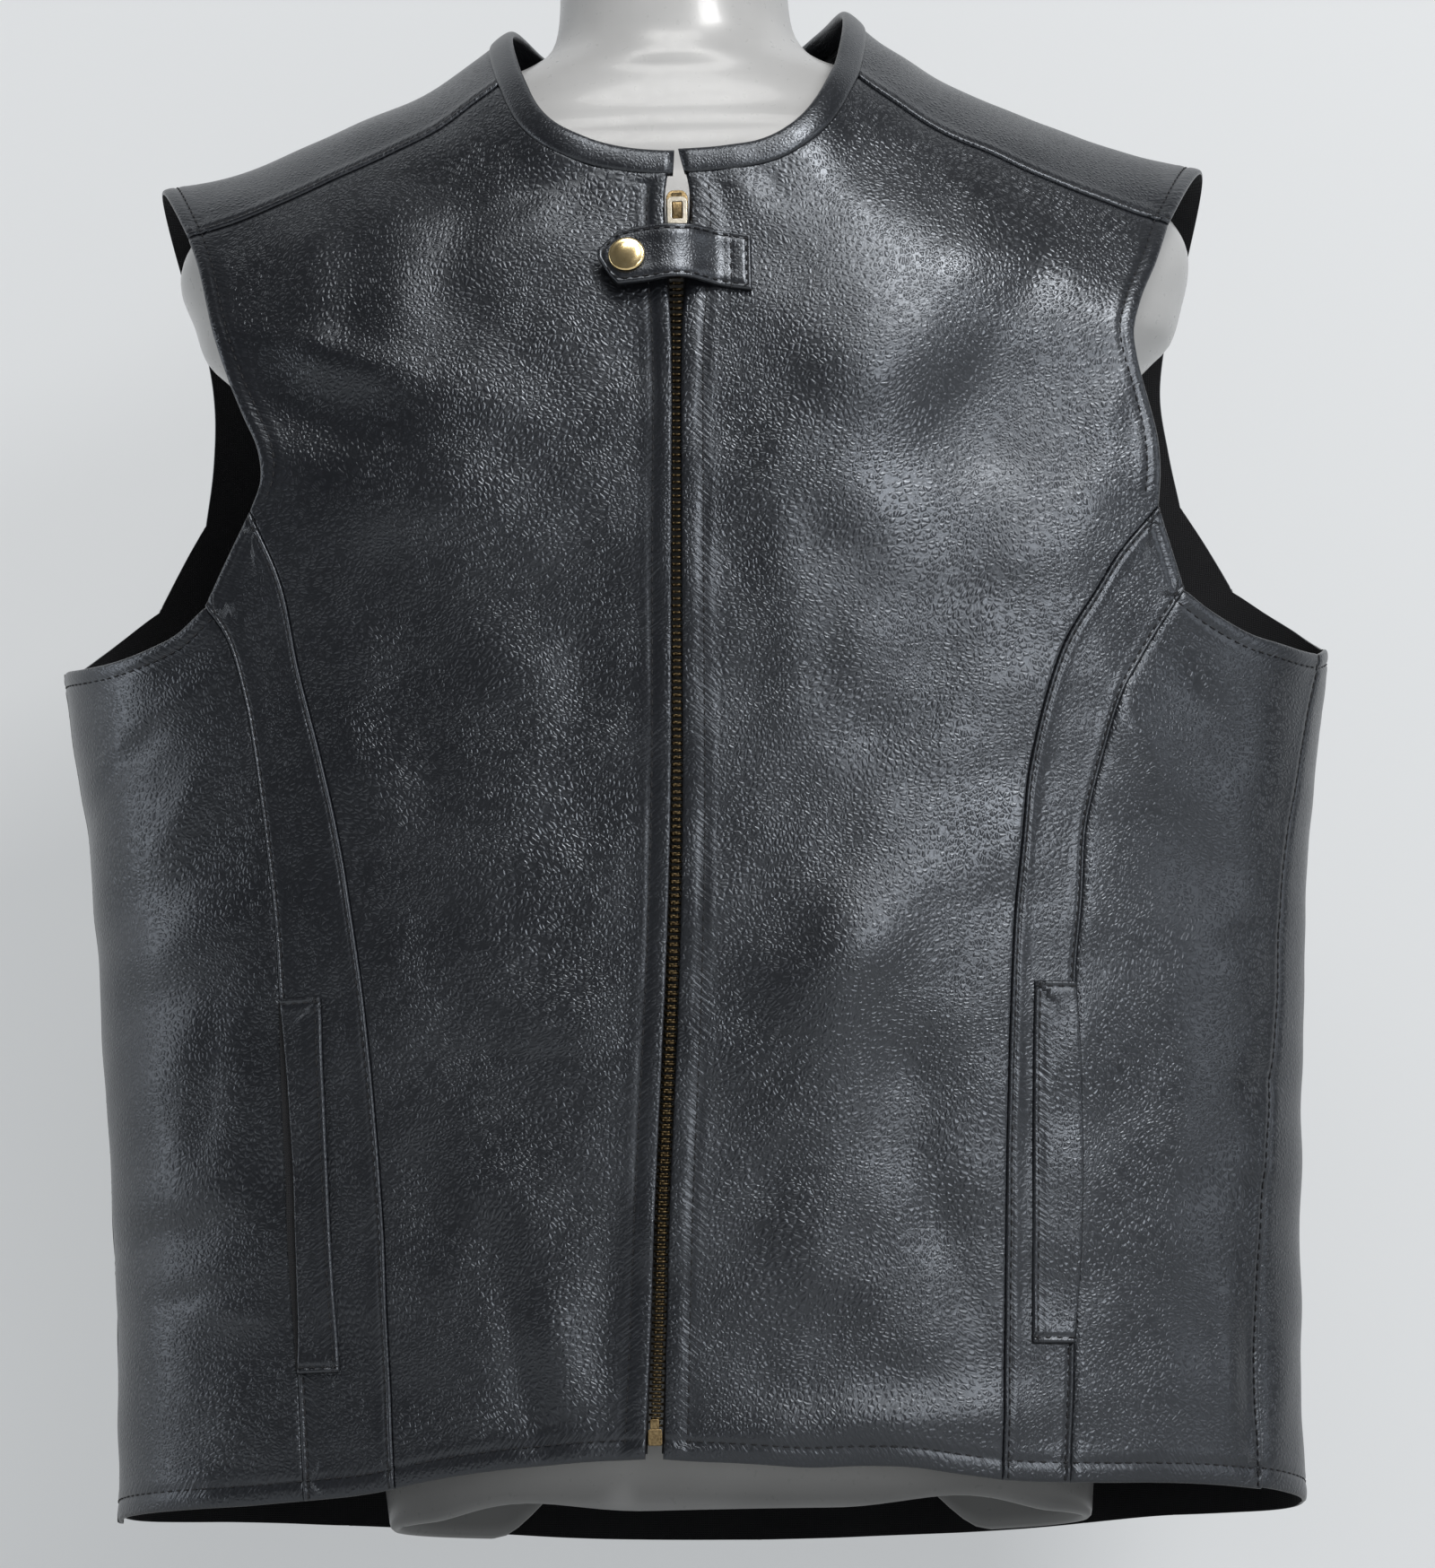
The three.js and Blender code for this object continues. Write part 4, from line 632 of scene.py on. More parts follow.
# %% Pebble grain
def pebble_grain():
    """Pebbles of a given size, pulled into slanting wrinkles beside the stitches."""
    group, given, result = new_group(
        "pebble_grain",
        [("Vector", "NodeSocketVector", None), ("Pebble", "NodeSocketFloat", 0.0021),
         ("Pull", "NodeSocketVector", None)],
        [("Height", "NodeSocketFloat"), ("Wear", "NodeSocketFloat"), ("Cloud", "NodeSocketFloat")],
    )
    links = group.links
    density = maths(group, "DIVIDE", 1.0, given.outputs["Pebble"], -700, 300)
    place = given.outputs["Vector"]
    for scale, amount, y in ((17.0, 0.026, 300), (190.0, 0.0016, 100)):
        bend = node(group, "ShaderNodeTexNoise", -700, y)
        bend.inputs["Scale"].default_value = scale
        bend.inputs["Detail"].default_value = 1.0
        links.new(given.outputs["Vector"], bend.inputs["Vector"])
        swayed = node(group, "ShaderNodeVectorMath", -400, y, operation="MULTIPLY_ADD")
        swayed.inputs[1].default_value = (amount, amount, amount)
        links.new(bend.outputs["Color"], swayed.inputs[0])
        links.new(place, swayed.inputs[2])
        place = swayed.outputs[0]
    cells = node(group, "ShaderNodeTexVoronoi", 0, 200, feature="DISTANCE_TO_EDGE")
    links.new(place, cells.inputs["Vector"])
    links.new(density, cells.inputs["Scale"])
    fine = node(group, "ShaderNodeTexNoise", 0, -50)
    fine.inputs["Detail"].default_value = 2.0
    links.new(place, fine.inputs["Vector"])
    links.new(maths(group, "MULTIPLY", density, 2.2, -100, -50), fine.inputs["Scale"])
    dome = node(group, "ShaderNodeMapRange", 200, 200, interpolation_type="SMOOTHERSTEP")
    dome.inputs["From Max"].default_value = 0.42
    links.new(cells.outputs["Distance"], dome.inputs["Value"])
    pebble = dome.outputs["Result"]
    finer = maths(group, "MULTIPLY", fine.outputs["Fac"], 0.5, 200, -50)
    grain = maths(group, "ADD", pebble, finer, 350, 150)
    parts = node(group, "ShaderNodeSeparateXYZ", -600, -350)
    links.new(given.outputs["Pull"], parts.inputs[0])
    stretched = node(group, "ShaderNodeCombineXYZ", -400, -350)
    links.new(maths(group, "MULTIPLY", parts.outputs["X"], 0.52, -500, -350), stretched.inputs["X"])
    links.new(maths(group, "MULTIPLY", parts.outputs["Y"], 0.13, -500, -450), stretched.inputs["Y"])
    wrinkle = node(group, "ShaderNodeTexNoise", -200, -350)
    wrinkle.inputs["Scale"].default_value = 1.0
    wrinkle.inputs["Detail"].default_value = 2.0
    links.new(stretched.outputs[0], wrinkle.inputs["Vector"])
    held = maths(group, "MULTIPLY", parts.outputs["Z"], 0.85, 0, -350)
    kept = maths(group, "MULTIPLY", grain, maths(group, "SUBTRACT", 1.0, held, 150, -350), 450, 100)
    wrinkled = maths(group, "MULTIPLY", wrinkle.outputs["Fac"], 3.2, 0, -450)
    pulled = maths(group, "MULTIPLY", wrinkled, held, 300, -400)
    height = maths(group, "ADD", kept, pulled, 600, 50)
    links.new(height, result.inputs["Height"])
    cloud = node(group, "ShaderNodeTexNoise", 0, -600)
    cloud.inputs["Scale"].default_value = 14.0
    cloud.inputs["Detail"].default_value = 4.0
    links.new(given.outputs["Vector"], cloud.inputs["Vector"])
    links.new(cloud.outputs["Fac"], result.inputs["Cloud"])
    links.new(maths(group, "MULTIPLY", pebble, cloud.outputs["Fac"], 400, -600), result.inputs["Wear"])
    return group


GRAIN = pebble_grain()
print("node group:", GRAIN.name)

# %% Leather material
def ramp(tree, source, low, high, x=0, y=0):
    """Value moved from 0..1 into a range."""
    made = node(tree, "ShaderNodeMapRange", x, y)
    made.inputs["From Min"].default_value = 0.25
    made.inputs["From Max"].default_value = 0.75
    made.inputs["To Min"].default_value = low
    made.inputs["To Max"].default_value = high
    tree.links.new(source, made.inputs["Value"])
    return made.outputs["Result"]


def two_colours(tree, source, dark, light, x=0, y=0):
    """Colour between two, by a value."""
    made = node(tree, "ShaderNodeMix", x, y, data_type="RGBA")
    colours = [s for s in made.inputs if s.type == "RGBA"]
    colours[0].default_value = (*dark, 1)
    colours[1].default_value = (*light, 1)
    tree.links.new(source, made.inputs["Factor"])
    return [s for s in made.outputs if s.type == "RGBA"][0]


def new_material(name):
    """Material with an empty Principled shader."""
    made = bpy.data.materials.new(name)
    made.use_nodes = True
    shader = made.node_tree.nodes["Principled BSDF"]
    shader.location = (900, 0)
    return made, made.node_tree, shader


def leather_material(name, dark, light, roughness, pebble, depth):
    """Grained hide with a satin finish that wears slightly on the pebbles' tops."""
    made, tree, shader = new_material(name)
    place = node(tree, "ShaderNodeTexCoord", -600, 0)
    pull = node(tree, "ShaderNodeAttribute", -600, -300, attribute_name="stitch_pull")
    grain = node(tree, "ShaderNodeGroup", -300, 0, node_tree=GRAIN)
    grain.inputs["Pebble"].default_value = pebble
    tree.links.new(place.outputs["Object"], grain.inputs["Vector"])
    tree.links.new(pull.outputs["Vector"], grain.inputs["Pull"])
    colour = two_colours(tree, grain.outputs["Wear"], dark, light, 200, 250)
    tree.links.new(colour, shader.inputs["Base Color"])
    rough = ramp(tree, grain.outputs["Cloud"], roughness[0], roughness[1], 200, 0)
    tree.links.new(rough, shader.inputs["Roughness"])
    bump = node(tree, "ShaderNodeBump", 500, -250)
    bump.inputs["Strength"].default_value = 1.0
    bump.inputs["Distance"].default_value = depth
    tree.links.new(grain.outputs["Height"], bump.inputs["Height"])
    tree.links.new(bump.outputs["Normal"], shader.inputs["Normal"])
    shader.inputs["Specular IOR Level"].default_value = 0.95
    shader.inputs["Specular Tint"].default_value = (0.86, 0.92, 1.0, 1)
    return made


LEATHER_BODY = leather_material(
    "black_pebbled_hide", (0.0035, 0.0037, 0.005), (0.010, 0.0105, 0.0145), (0.27, 0.38), 0.0021, 0.00015)
LEATHER_SMOOTH = leather_material(
    "black_skived_hide", (0.0035, 0.0037, 0.005), (0.010, 0.0105, 0.0145), (0.27, 0.38), 0.0016, 0.00007)
print("leather:", LEATHER_BODY.name, LEATHER_SMOOTH.name)


# %% Inner face, thread and tape
def woven_material(name, dark, light, density, roughness, depth):
    """Dull textile with a fine weave in both directions."""
    made, tree, shader = new_material(name)
    place = node(tree, "ShaderNodeTexCoord", -600, 0)
    waves = []
    for direction, y in (("X", 200), ("Z", 0)):
        wave = node(tree, "ShaderNodeTexWave", -300, y, bands_direction=direction)
        wave.inputs["Scale"].default_value = density
        wave.inputs["Distortion"].default_value = 0.6
        tree.links.new(place.outputs["Object"], wave.inputs["Vector"])
        waves.append(wave.outputs["Fac"])
    weave = maths(tree, "MULTIPLY", waves[0], waves[1], 0, 100)
    cloud = node(tree, "ShaderNodeTexNoise", -300, -250)
    cloud.inputs["Scale"].default_value = 35.0
    tree.links.new(place.outputs["Object"], cloud.inputs["Vector"])
    tree.links.new(two_colours(tree, weave, dark, light, 300, 250), shader.inputs["Base Color"])
    tree.links.new(ramp(tree, cloud.outputs["Fac"], roughness - 0.06, roughness + 0.06, 300, 0),
                   shader.inputs["Roughness"])
    bump = node(tree, "ShaderNodeBump", 500, -250)
    bump.inputs["Distance"].default_value = depth
    tree.links.new(weave, bump.inputs["Height"])
    tree.links.new(bump.outputs["Normal"], shader.inputs["Normal"])
    return made


INNER_FACE = woven_material(
    "black_inner_face", (0.003, 0.003, 0.004), (0.009, 0.0095, 0.013), 420, 0.78, 0.0002)
TAPE = woven_material(
    "black_zip_tape", (0.004, 0.004, 0.005), (0.014, 0.014, 0.017), 620, 0.85, 0.0002)
THREAD = woven_material(
    "black_thread", (0.006, 0.006, 0.008), (0.02, 0.021, 0.025), 1500, 0.55, 0.0001)
print("textiles:", INNER_FACE.name, TAPE.name, THREAD.name)

# %% [markdown]
# ## Metal and plastic
# The zip and slider are aged brass, brown in the hollows and rubbed bright on the high spots. The
# snap cap is the same metal polished and lacquered. The form is blow-moulded glossy plastic with a
# few fine scuffs. A metal needs little colour variation, but its roughness has to change.

# %% Metal and plastic materials
def hard_material(name, dark, light, metallic, roughness, grain_size, depth, coat=0.0):
    """Metal or plastic with a clouded colour, an uneven gloss and faint dents."""
    made, tree, shader = new_material(name)
    place = node(tree, "ShaderNodeTexCoord", -600, 0)
    cloud = node(tree, "ShaderNodeTexNoise", -300, 200)
    cloud.inputs["Scale"].default_value = 1.0 / grain_size
    cloud.inputs["Detail"].default_value = 5.0
    tree.links.new(place.outputs["Object"], cloud.inputs["Vector"])
    scuff = node(tree, "ShaderNodeTexNoise", -300, -100)
    scuff.inputs["Scale"].default_value = 9.0 / grain_size
    scuff.inputs["Detail"].default_value = 3.0
    tree.links.new(place.outputs["Object"], scuff.inputs["Vector"])
    tone = ramp(tree, cloud.outputs["Fac"], 0.0, 1.0, 0, 250)
    tree.links.new(two_colours(tree, tone, dark, light, 300, 250), shader.inputs["Base Color"])
    tree.links.new(ramp(tree, scuff.outputs["Fac"], roughness[0], roughness[1], 300, 0),
                   shader.inputs["Roughness"])
    bump = node(tree, "ShaderNodeBump", 500, -250)
    bump.inputs["Distance"].default_value = depth
    tree.links.new(cloud.outputs["Fac"], bump.inputs["Height"])
    tree.links.new(bump.outputs["Normal"], shader.inputs["Normal"])
    shader.inputs["Metallic"].default_value = metallic
    shader.inputs["Coat Weight"].default_value = coat
    shader.inputs["Coat Roughness"].default_value = 0.06
    return made


TOOTH_BRASS = hard_material(
    "darkened_tooth_brass", (0.03, 0.021, 0.012), (0.15, 0.11, 0.055), 1.0, (0.3, 0.5), 0.0011, 0.00006)
ANTIQUE_BRASS = hard_material(
    "antique_brass", (0.1, 0.066, 0.032), (0.42, 0.31, 0.16), 1.0, (0.28, 0.5), 0.0011, 0.00008)
RUBBED_NICKEL = hard_material(
    "rubbed_pull_metal", (0.3, 0.27, 0.21), (0.62, 0.58, 0.5), 1.0, (0.26, 0.42), 0.0016, 0.00005)
POLISHED_BRASS = hard_material(
    "polished_brass", (0.72, 0.53, 0.24), (0.9, 0.72, 0.4), 1.0, (0.16, 0.26), 0.0024, 0.00003, 0.4)
FORM_PLASTIC = hard_material(
    "glossy_white_plastic", (0.4, 0.4, 0.397), (0.45, 0.45, 0.447), 0.0, (0.26, 0.34), 0.03, 0.00004, 0.1)
print("hard finishes ready")

# %% [markdown]
# ## The body panels
# Every panel is a patch between four cutting lines, made in the same way for both sides. A front
# has its zip and neck edge on one side, and its strip seam and armhole on the other, so those
# edges change their kind on the way up.

# %% Panel builder
# Shares of a front's height: its strip seam ends at the armhole, and its zip at the neck
SEAM_SHARE = 20 / 28
NECK_SHARE = 23 / 28
PANELS = {}
HIDE_FACES = [LEATHER_BODY, INNER_FACE]


def longest(curve, other):
    """Rough length of the longer of two boundary curves in mm."""
    share = np.linspace(0, 1, 40)
    lengths = []
    for line in (curve, other):
        place = line(share)
        points = plain_point(place[:, 0], place[:, 1])
        lengths.append(np.linalg.norm(np.diff(points, axis=0), axis=1).sum())
    return max(lengths)


def panel(name, bottom, top, left, right, breaks, edges):
    """One sewn piece of leather between four curves."""
    rows = edge_shares(longest(left, right), breaks)
    columns = edge_shares(longest(bottom, top))
    places = coons(bottom, top, left, right, rows, columns)
    turn, z = places[..., 0], places[..., 1]
    points, normals = body_point(turn, z), body_normal(turn, z)
    grid = sewn_grid(points, normals, rows, columns, edges)
    PANELS[name] = grid
    made = shell(f"{name}_hide", grid, 0, -LEATHER, HIDE_FACES)
    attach(made, "vest")
    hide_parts(name)
    grid["object"] = made
    return grid


def ends_meet(places, first=None, last=None):
    """Boundary rows with their first or last place moved onto a neighbour's."""
    places = list(places)
    if first is not None:
        places[0] = tuple(float(v) for v in first)
    if last is not None:
        places[-1] = tuple(float(v) for v in last)
    return places


# %% Front panels
def yoke_seam(drop, start, end, face):
    """Seam between a body panel and the yoke, parallel to the shoulder line."""
    def at(share):
        x = start + (end - start) * np.asarray(share, float)
        z = smooth(SHOULDER_LINE, np.abs(x)) - drop
        return np.stack([turn_at(x, z, face), z], axis=-1)

    return at


def front_panel(side):
    """Front from the hem to the yoke seam."""
    sign = -1 if side == "left" else 1
    zip_edge = [(float(turn_at(np.float64(x + sign * gap), z, -1)), z) for z, x, gap in ZIP_LINE]
    top = yoke_seam(YOKE_FRONT_DROP[side], NECK_FRONT[side][-1][0], ARMHOLE_FRONT[side][0][0], -1)
    neck = ends_meet(by_width(NECK_FRONT[side], -1), last=top(0.0))
    strip = by_height(STRIP_CENTRE_SEAM[side], -1)
    hem = hem_line(HEM_FRONT, HEM_BACK, zip_edge[0][0], strip[0][0])
    zip_edge = ends_meet(zip_edge, hem(0.0), neck[0])
    strip = ends_meet(strip, hem(1.0))
    armhole = ends_meet(by_width(ARMHOLE_FRONT[side], -1)[::-1], strip[-1], top(1.0))
    return panel(
        f"front_{side}", hem, top,
        joined(flat_curve(zip_edge), flat_curve(neck), NECK_SHARE),
        joined(flat_curve(strip), flat_curve(armhole), SEAM_SHARE), (SEAM_SHARE, NECK_SHARE),
        {
            "bottom": [(0, 1, "hem")],
            "top": [(0, 1, "under")],
            "left": [(0, NECK_SHARE, f"zip_{side}"), (NECK_SHARE, 1, "neck")],
            "right": [(0, SEAM_SHARE, "seam"), (SEAM_SHARE, 1, "armhole")],
        },
    )


for side in SIDES:
    made = front_panel(side)
    print("front", side, made["outer"].shape[:2], "points")


# %% Narrow strips
def strip_panel(name, centre_table, side_table, face):
    """Strip between two long seams, ending at the armhole."""
    centre, outer = by_height(centre_table, face), by_height(side_table, face)
    hem = hem_line(HEM_FRONT, HEM_BACK, centre[0][0], outer[0][0])
    centre, outer = ends_meet(centre, hem(0.0)), ends_meet(outer, hem(1.0))
    top = flat_curve([centre[-1], outer[-1]])
    return panel(
        name, hem, top, flat_curve(centre), flat_curve(outer), (),
        {"bottom": [(0, 1, "hem")], "top": [(0, 1, "armhole")],
         "left": [(0, 1, "lap")], "right": [(0, 1, "lap")]},
    )


for side in SIDES:
    strip_panel(f"strip_front_{side}", STRIP_CENTRE_SEAM[side], STRIP_SIDE_SEAM[side], -1)
    strip_panel(f"strip_back_{side}", BACK_STRIP_CENTRE_SEAM[side], BACK_STRIP_SIDE_SEAM[side], 1)
print("strips: 4")


# %% Side panels
def side_panel(name, side, face, strip_table, armhole_table):
    """Panel from a strip to the side seam, with the low part of the armhole as its top."""
    strip = by_height(strip_table, face)
    around = 2 * math.pi if side == "left" and face > 0 else 0
    seam = [(math.radians(degrees) - around, z) for z, degrees in SIDE_SEAM[side]]
    hem = hem_line(HEM_FRONT if face < 0 else HEM_BACK, HEM_FRONT if face < 0 else HEM_BACK,
                   strip[0][0], seam[0][0])
    strip, seam = ends_meet(strip, hem(0.0)), ends_meet(seam, hem(1.0))
    low = by_width(armhole_table, face)
    low = ends_meet(low if face < 0 else low[::-1], strip[-1], seam[-1])
    return panel(
        name, hem, flat_curve(low), flat_curve(strip), flat_curve(seam), (),
        {"bottom": [(0, 1, "hem")], "top": [(0, 1, "armhole")],
         "left": [(0, 1, "under")], "right": [(0, 1, "lap" if face < 0 else "under")]},
    )


for side in SIDES:
    side_panel(f"side_front_{side}", side, -1, STRIP_SIDE_SEAM[side], ARMHOLE_LOWER_FRONT[side])
    side_panel(f"side_back_{side}", side, 1, BACK_STRIP_SIDE_SEAM[side], ARMHOLE_LOWER_BACK[side])
print("side panels: 4")

# %% Back panels
# Share of a back's top edge that the neck takes
BACK_CORNER = 4 / 12


def back_panel(side):
    """Back from the hem to the neck and the yoke seam."""
    centre = by_height(BACK_CENTRE_SEAM, 1)
    seam = yoke_seam(YOKE_BACK_DROP, NECK_BACK[side][-1][0], ARMHOLE_BACK[side][-1][0], 1)
    neck = ends_meet(by_width(NECK_BACK[side], 1), last=seam(0.0))
    centre = ends_meet(centre, last=neck[0])
    strip = by_height(BACK_STRIP_CENTRE_SEAM[side], 1)
    hem = hem_line(HEM_FRONT, HEM_BACK, centre[0][0], strip[0][0])
    centre, strip = ends_meet(centre, hem(0.0)), ends_meet(strip, hem(1.0))
    armhole = ends_meet(by_width(ARMHOLE_BACK[side], 1), strip[-1], seam(1.0))
    top = joined(flat_curve(neck), seam, BACK_CORNER)
    return panel(
        f"back_{side}", hem, top, flat_curve(centre),
        joined(flat_curve(strip), flat_curve(armhole), SEAM_SHARE), (SEAM_SHARE,),
        {"bottom": [(0, 1, "hem")],
         "top": [(0, BACK_CORNER, "neck"), (BACK_CORNER, 1, "under")],
         "left": [(0, 1, "lap" if side == "left" else "under")],
         "right": [(0, SEAM_SHARE, "under"), (SEAM_SHARE, 1, "armhole")]},
    )


for side in SIDES:
    back_panel(side)
print("back panels: 2")

# %% [markdown]
# ## Yokes
# A yoke is a narrow piece that rolls over the shoulder, so an angle of roll suits it better than
# a height. Near its two seams it takes over the folds of the panels that it is sewn to.

# %% Yokes
YOKE_LENGTH = 185
YOKE_WIDTH = 145
YOKE_FOLDS_REACH = 22


def yoke_panel(side):
    """Shoulder piece between the front and back seams."""
    neck_front, neck_back = NECK_FRONT[side][-1][0], NECK_BACK[side][-1][0]
    arm_front, arm_back = ARMHOLE_FRONT[side][0][0], ARMHOLE_BACK[side][-1][0]
    roll_front = math.acos(1 - YOKE_FRONT_DROP[side] / SHOULDER_ROLL)
    roll_back = -math.acos(1 - YOKE_BACK_DROP / SHOULDER_ROLL)
    rows, columns = edge_shares(YOKE_LENGTH), edge_shares(YOKE_WIDTH)
    bend = 4 * rows * (1 - rows)
    ridge_inner, ridge_outer = YOKE_RIDGE[side]
    inner = neck_front + (neck_back - neck_front) * rows + (ridge_inner - (neck_front + neck_back) / 2) * bend
    outer = arm_front + (arm_back - arm_front) * rows + (ridge_outer - (arm_front + arm_back) / 2) * bend
    roll = (roll_front + (roll_back - roll_front) * rows)[:, None] + 0 * columns[None, :]
    x = inner[:, None] + (outer - inner)[:, None] * columns[None, :]
    points, normals = yoke_point(x, roll), yoke_normal(x, roll)
    face = np.where(roll > 0, -1, 1)
    fading = np.clip(1 - np.minimum(rows, 1 - rows) * YOKE_LENGTH / YOKE_FOLDS_REACH, 0, 1)[:, None] ** 2
    rise = relief_of(FOLDS + CREASES, x, points[..., 2], face) * fading
    rise += hide_unevenness(x, points[..., 2], face)
    points = points + normals * rise[..., None]
    grid = sewn_grid(
        points, normals, rows, columns,
        {"bottom": [(0, 1, "yoke")], "top": [(0, 1, "yoke")],
         "left": [(0, 1, "neck")], "right": [(0, 1, "armhole")]},
    )
    PANELS[f"yoke_{side}"] = grid
    made = shell(f"yoke_{side}_hide", grid, 0, -LEATHER, HIDE_FACES)
    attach(made, "vest")
    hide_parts(f"yoke_{side}")
    grid["object"] = made
    return grid


for side in SIDES:
    yoke_panel(side)
print("yokes: 2")

# %% [markdown]
# ## Neck binding
# The neck is finished with a strip of leather folded over the raw edge. It is swept along the
# edge of the panels under it: a rounded profile is placed at every point of that edge, turned
# with the cloth. The directions are averaged along the way, so that the strip runs smoothly
# over the yoke seams.

# %% Neck binding
BINDING_PROFILE = [
    (-0.6, 0.25), (0.0, 0.95), (1.2, 1.45), (3.2, 1.7), (5.6, 1.75), (8.0, 1.55), (9.6, 1.1),
    (10.6, 0.3), (10.9, -0.7), (10.5, -1.7), (9.4, -2.4), (7.0, -2.75), (4.0, -2.8), (1.2, -2.6),
    (-0.4, -2.1), (-0.6, -0.9),
]


def neck_edge(side):
    """Points, outward and upward directions along one half of the neck."""
    front, yoke, back = (PANELS[f"{name}_{side}"] for name in ("front", "yoke", "back"))
    start = int(np.searchsorted(front["rows"], NECK_SHARE - 1e-6))
    corner = int(np.searchsorted(back["columns"], BACK_CORNER + 1e-6))
    lines = [
        (front["plain"][start:, 0], front["normals"][start:, 0], front["plain"][start:, 4]),
        (yoke["plain"][1:-1, 0], yoke["normals"][1:-1, 0], yoke["plain"][1:-1, 4]),
        (back["plain"][-1, corner::-1], back["normals"][-1, corner::-1], back["plain"][-5, corner::-1]),
    ]
    point, normal, inward = (np.concatenate(part) for part in zip(*lines))
    return point, normal, inward - point


def spread_evenly(point, *directions, spacing=2.0):
    """Points resampled at one spacing, with their directions."""
    run = np.concatenate([[0], np.cumsum(np.linalg.norm(np.diff(point, axis=0), axis=1))])
    at = np.linspace(0, run[-1], int(run[-1] / spacing) + 1)
    return [np.stack([np.interp(at, run, part[:, k]) for k in range(3)], axis=1)
            for part in (point, *directions)]


def averaged(values, half):
    """Running mean that keeps its ends."""
    padded = np.concatenate([np.repeat(values[:1], half, 0), values, np.repeat(values[-1:], half, 0)])
    sums = np.cumsum(np.concatenate([np.zeros((1, 3)), padded]), axis=0)
    return (sums[2 * half + 1:] - sums[:-2 * half - 1]) / (2 * half + 1)


BINDING_SQUARE_REACH = 2.2
BINDING_SLANT_REACH = 0.5
BINDING_SLANT = 2.0
left_edge, right_edge = neck_edge("left"), neck_edge("right")
whole_edge = [np.concatenate([a, b[::-1][1:]]) for a, b in zip(left_edge, right_edge)]
point, normal, inward = spread_evenly(*whole_edge)
point[3:-3] = averaged(point, 3)[3:-3]
along = unit(np.gradient(point, axis=0))
normal = averaged(unit(normal), 6)
normal = unit(normal - along * (normal * along).sum(1, keepdims=True))
upward = averaged(unit(-inward), 6)
upward = upward - along * (upward * along).sum(1, keepdims=True)
upward = unit(upward - normal * (upward * normal).sum(1, keepdims=True))
profile = centripetal(BINDING_PROFILE + BINDING_PROFILE[:1])[:-1:6]
rings = (point[:, None] + upward[:, None] * profile[None, :, :1] + normal[:, None] * profile[None, :, 1:])
# Cut a little past the zip edges: square on the wearer's right, slanting on the left
rings[0, :, 0] += BINDING_SQUARE_REACH
rings[-1, :, 0] -= BINDING_SLANT_REACH + BINDING_SLANT * profile[:, 0] / profile[:, 0].max()
count = len(profile)
faces = ring_faces(len(rings), count)
caps = [tuple(range(count)), tuple((len(rings) - 1) * count + k for k in range(count - 1, -1, -1))]
vertices = in_frame(rings.reshape(-1, 3))


def facing_out(name):
    """Normals of a closed mesh turned outwards."""
    mesh = bpy.data.objects[name].data
    shape = bmesh.new()
    shape.from_mesh(mesh)
    bmesh.ops.recalc_face_normals(shape, faces=shape.faces)
    shape.to_mesh(mesh)
    shape.free()


binding = new_object("neck_binding", vertices, faces + caps, [LEATHER_SMOOTH])
facing_out("neck_binding")
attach(binding, "vest")
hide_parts("collar_binding")

# %% [markdown]
# ## Pocket welts and the snap tab
# A welt is a folded strip that stands a little proud of the strip under it and closes the pocket's
# slit. The tab is two layers sewn together round the edge. It arches over the zip to its snap, so
# it is built on the same surface, lifted by a height that changes along its length.

# %% Pocket welts
WELT_WIDTH = 17
WELT_EDGES = [0, 0.4, 0.9, 1.6, 2.4, 3.4, 4.8, 6.5, 8.5, 10.5, 12.5, 14.2, 15.4, 16.2, 16.7, 17]
WELT_GAP = 0.6
# How far the free edge leans over the slit; below zero it gapes
WELT_BULGE = {"left": -3.0, "right": 3.4}
# Height of the outer face at the free edge, how much of it is lost to the sewn one, and the extra
# height halfway up
WELT_STAND = 2.6
WELT_FALL = 1.5
WELT_CROWN = 0.5
WELT_UNDERSIDE = 0.35


def pocket_welt(side, bottom, top):
    """Folded strip beside the slit, sewn along its other long edge and both ends."""
    sign = 1 if side == "left" else -1
    rows = edge_shares(top - bottom)
    columns = np.array(WELT_EDGES) / WELT_WIDTH
    z = bottom + (top - bottom) * rows
    share = np.abs(2 * rows - 1)
    bulge = WELT_BULGE[side] * (1 - share ** 2.2)
    seam = smooth(STRIP_SIDE_SEAM[side], z)
    offset = WELT_GAP + WELT_WIDTH * columns[None, :] - bulge[:, None] * (1 - columns[None, :]) ** 2
    x = seam[:, None] + sign * offset
    z = z[:, None] + 0 * x
    turn = turn_at(x, z, -1)
    points, normals = body_point(turn, z), body_normal(turn, z)
    grid = sewn_grid(
        points, normals, rows, columns,
        {"bottom": [(0, 1, "lap")], "top": [(0, 1, "lap")],
         "left": [(0, 1, "seam")], "right": [(0, 1, "lap")]},
    )
    crown = WELT_CROWN * (1 - share[:, None] ** 4) * (1 - columns[None, :])
    stand = WELT_STAND - WELT_FALL * columns[None, :] + crown
    grid["outer"] = grid["outer"] + normals * stand[..., None]
    grid["plain"] = grid["plain"] + normals * WELT_UNDERSIDE
    PANELS[f"welt_{side}"] = grid
    made = shell(f"welt_{side}_hide", grid, 0, 0, [LEATHER_BODY, LEATHER_SMOOTH])
    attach(made, "vest")
    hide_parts(f"pocket_welt_{side}")
    grid["object"] = made


pocket_welt("left", 56, 212)
pocket_welt("right", 62, 212)
print("welts: 2")

# %% Gaping slit and its painted shade
# The left pocket stands a little open; a matte black sheet just over the strip, between the welt and the
# seam, is painted shade for the gap
SLIT_LIFT = 0.75
SLIT_ENDS = (58, 210)
SLIT_ROWS = 60
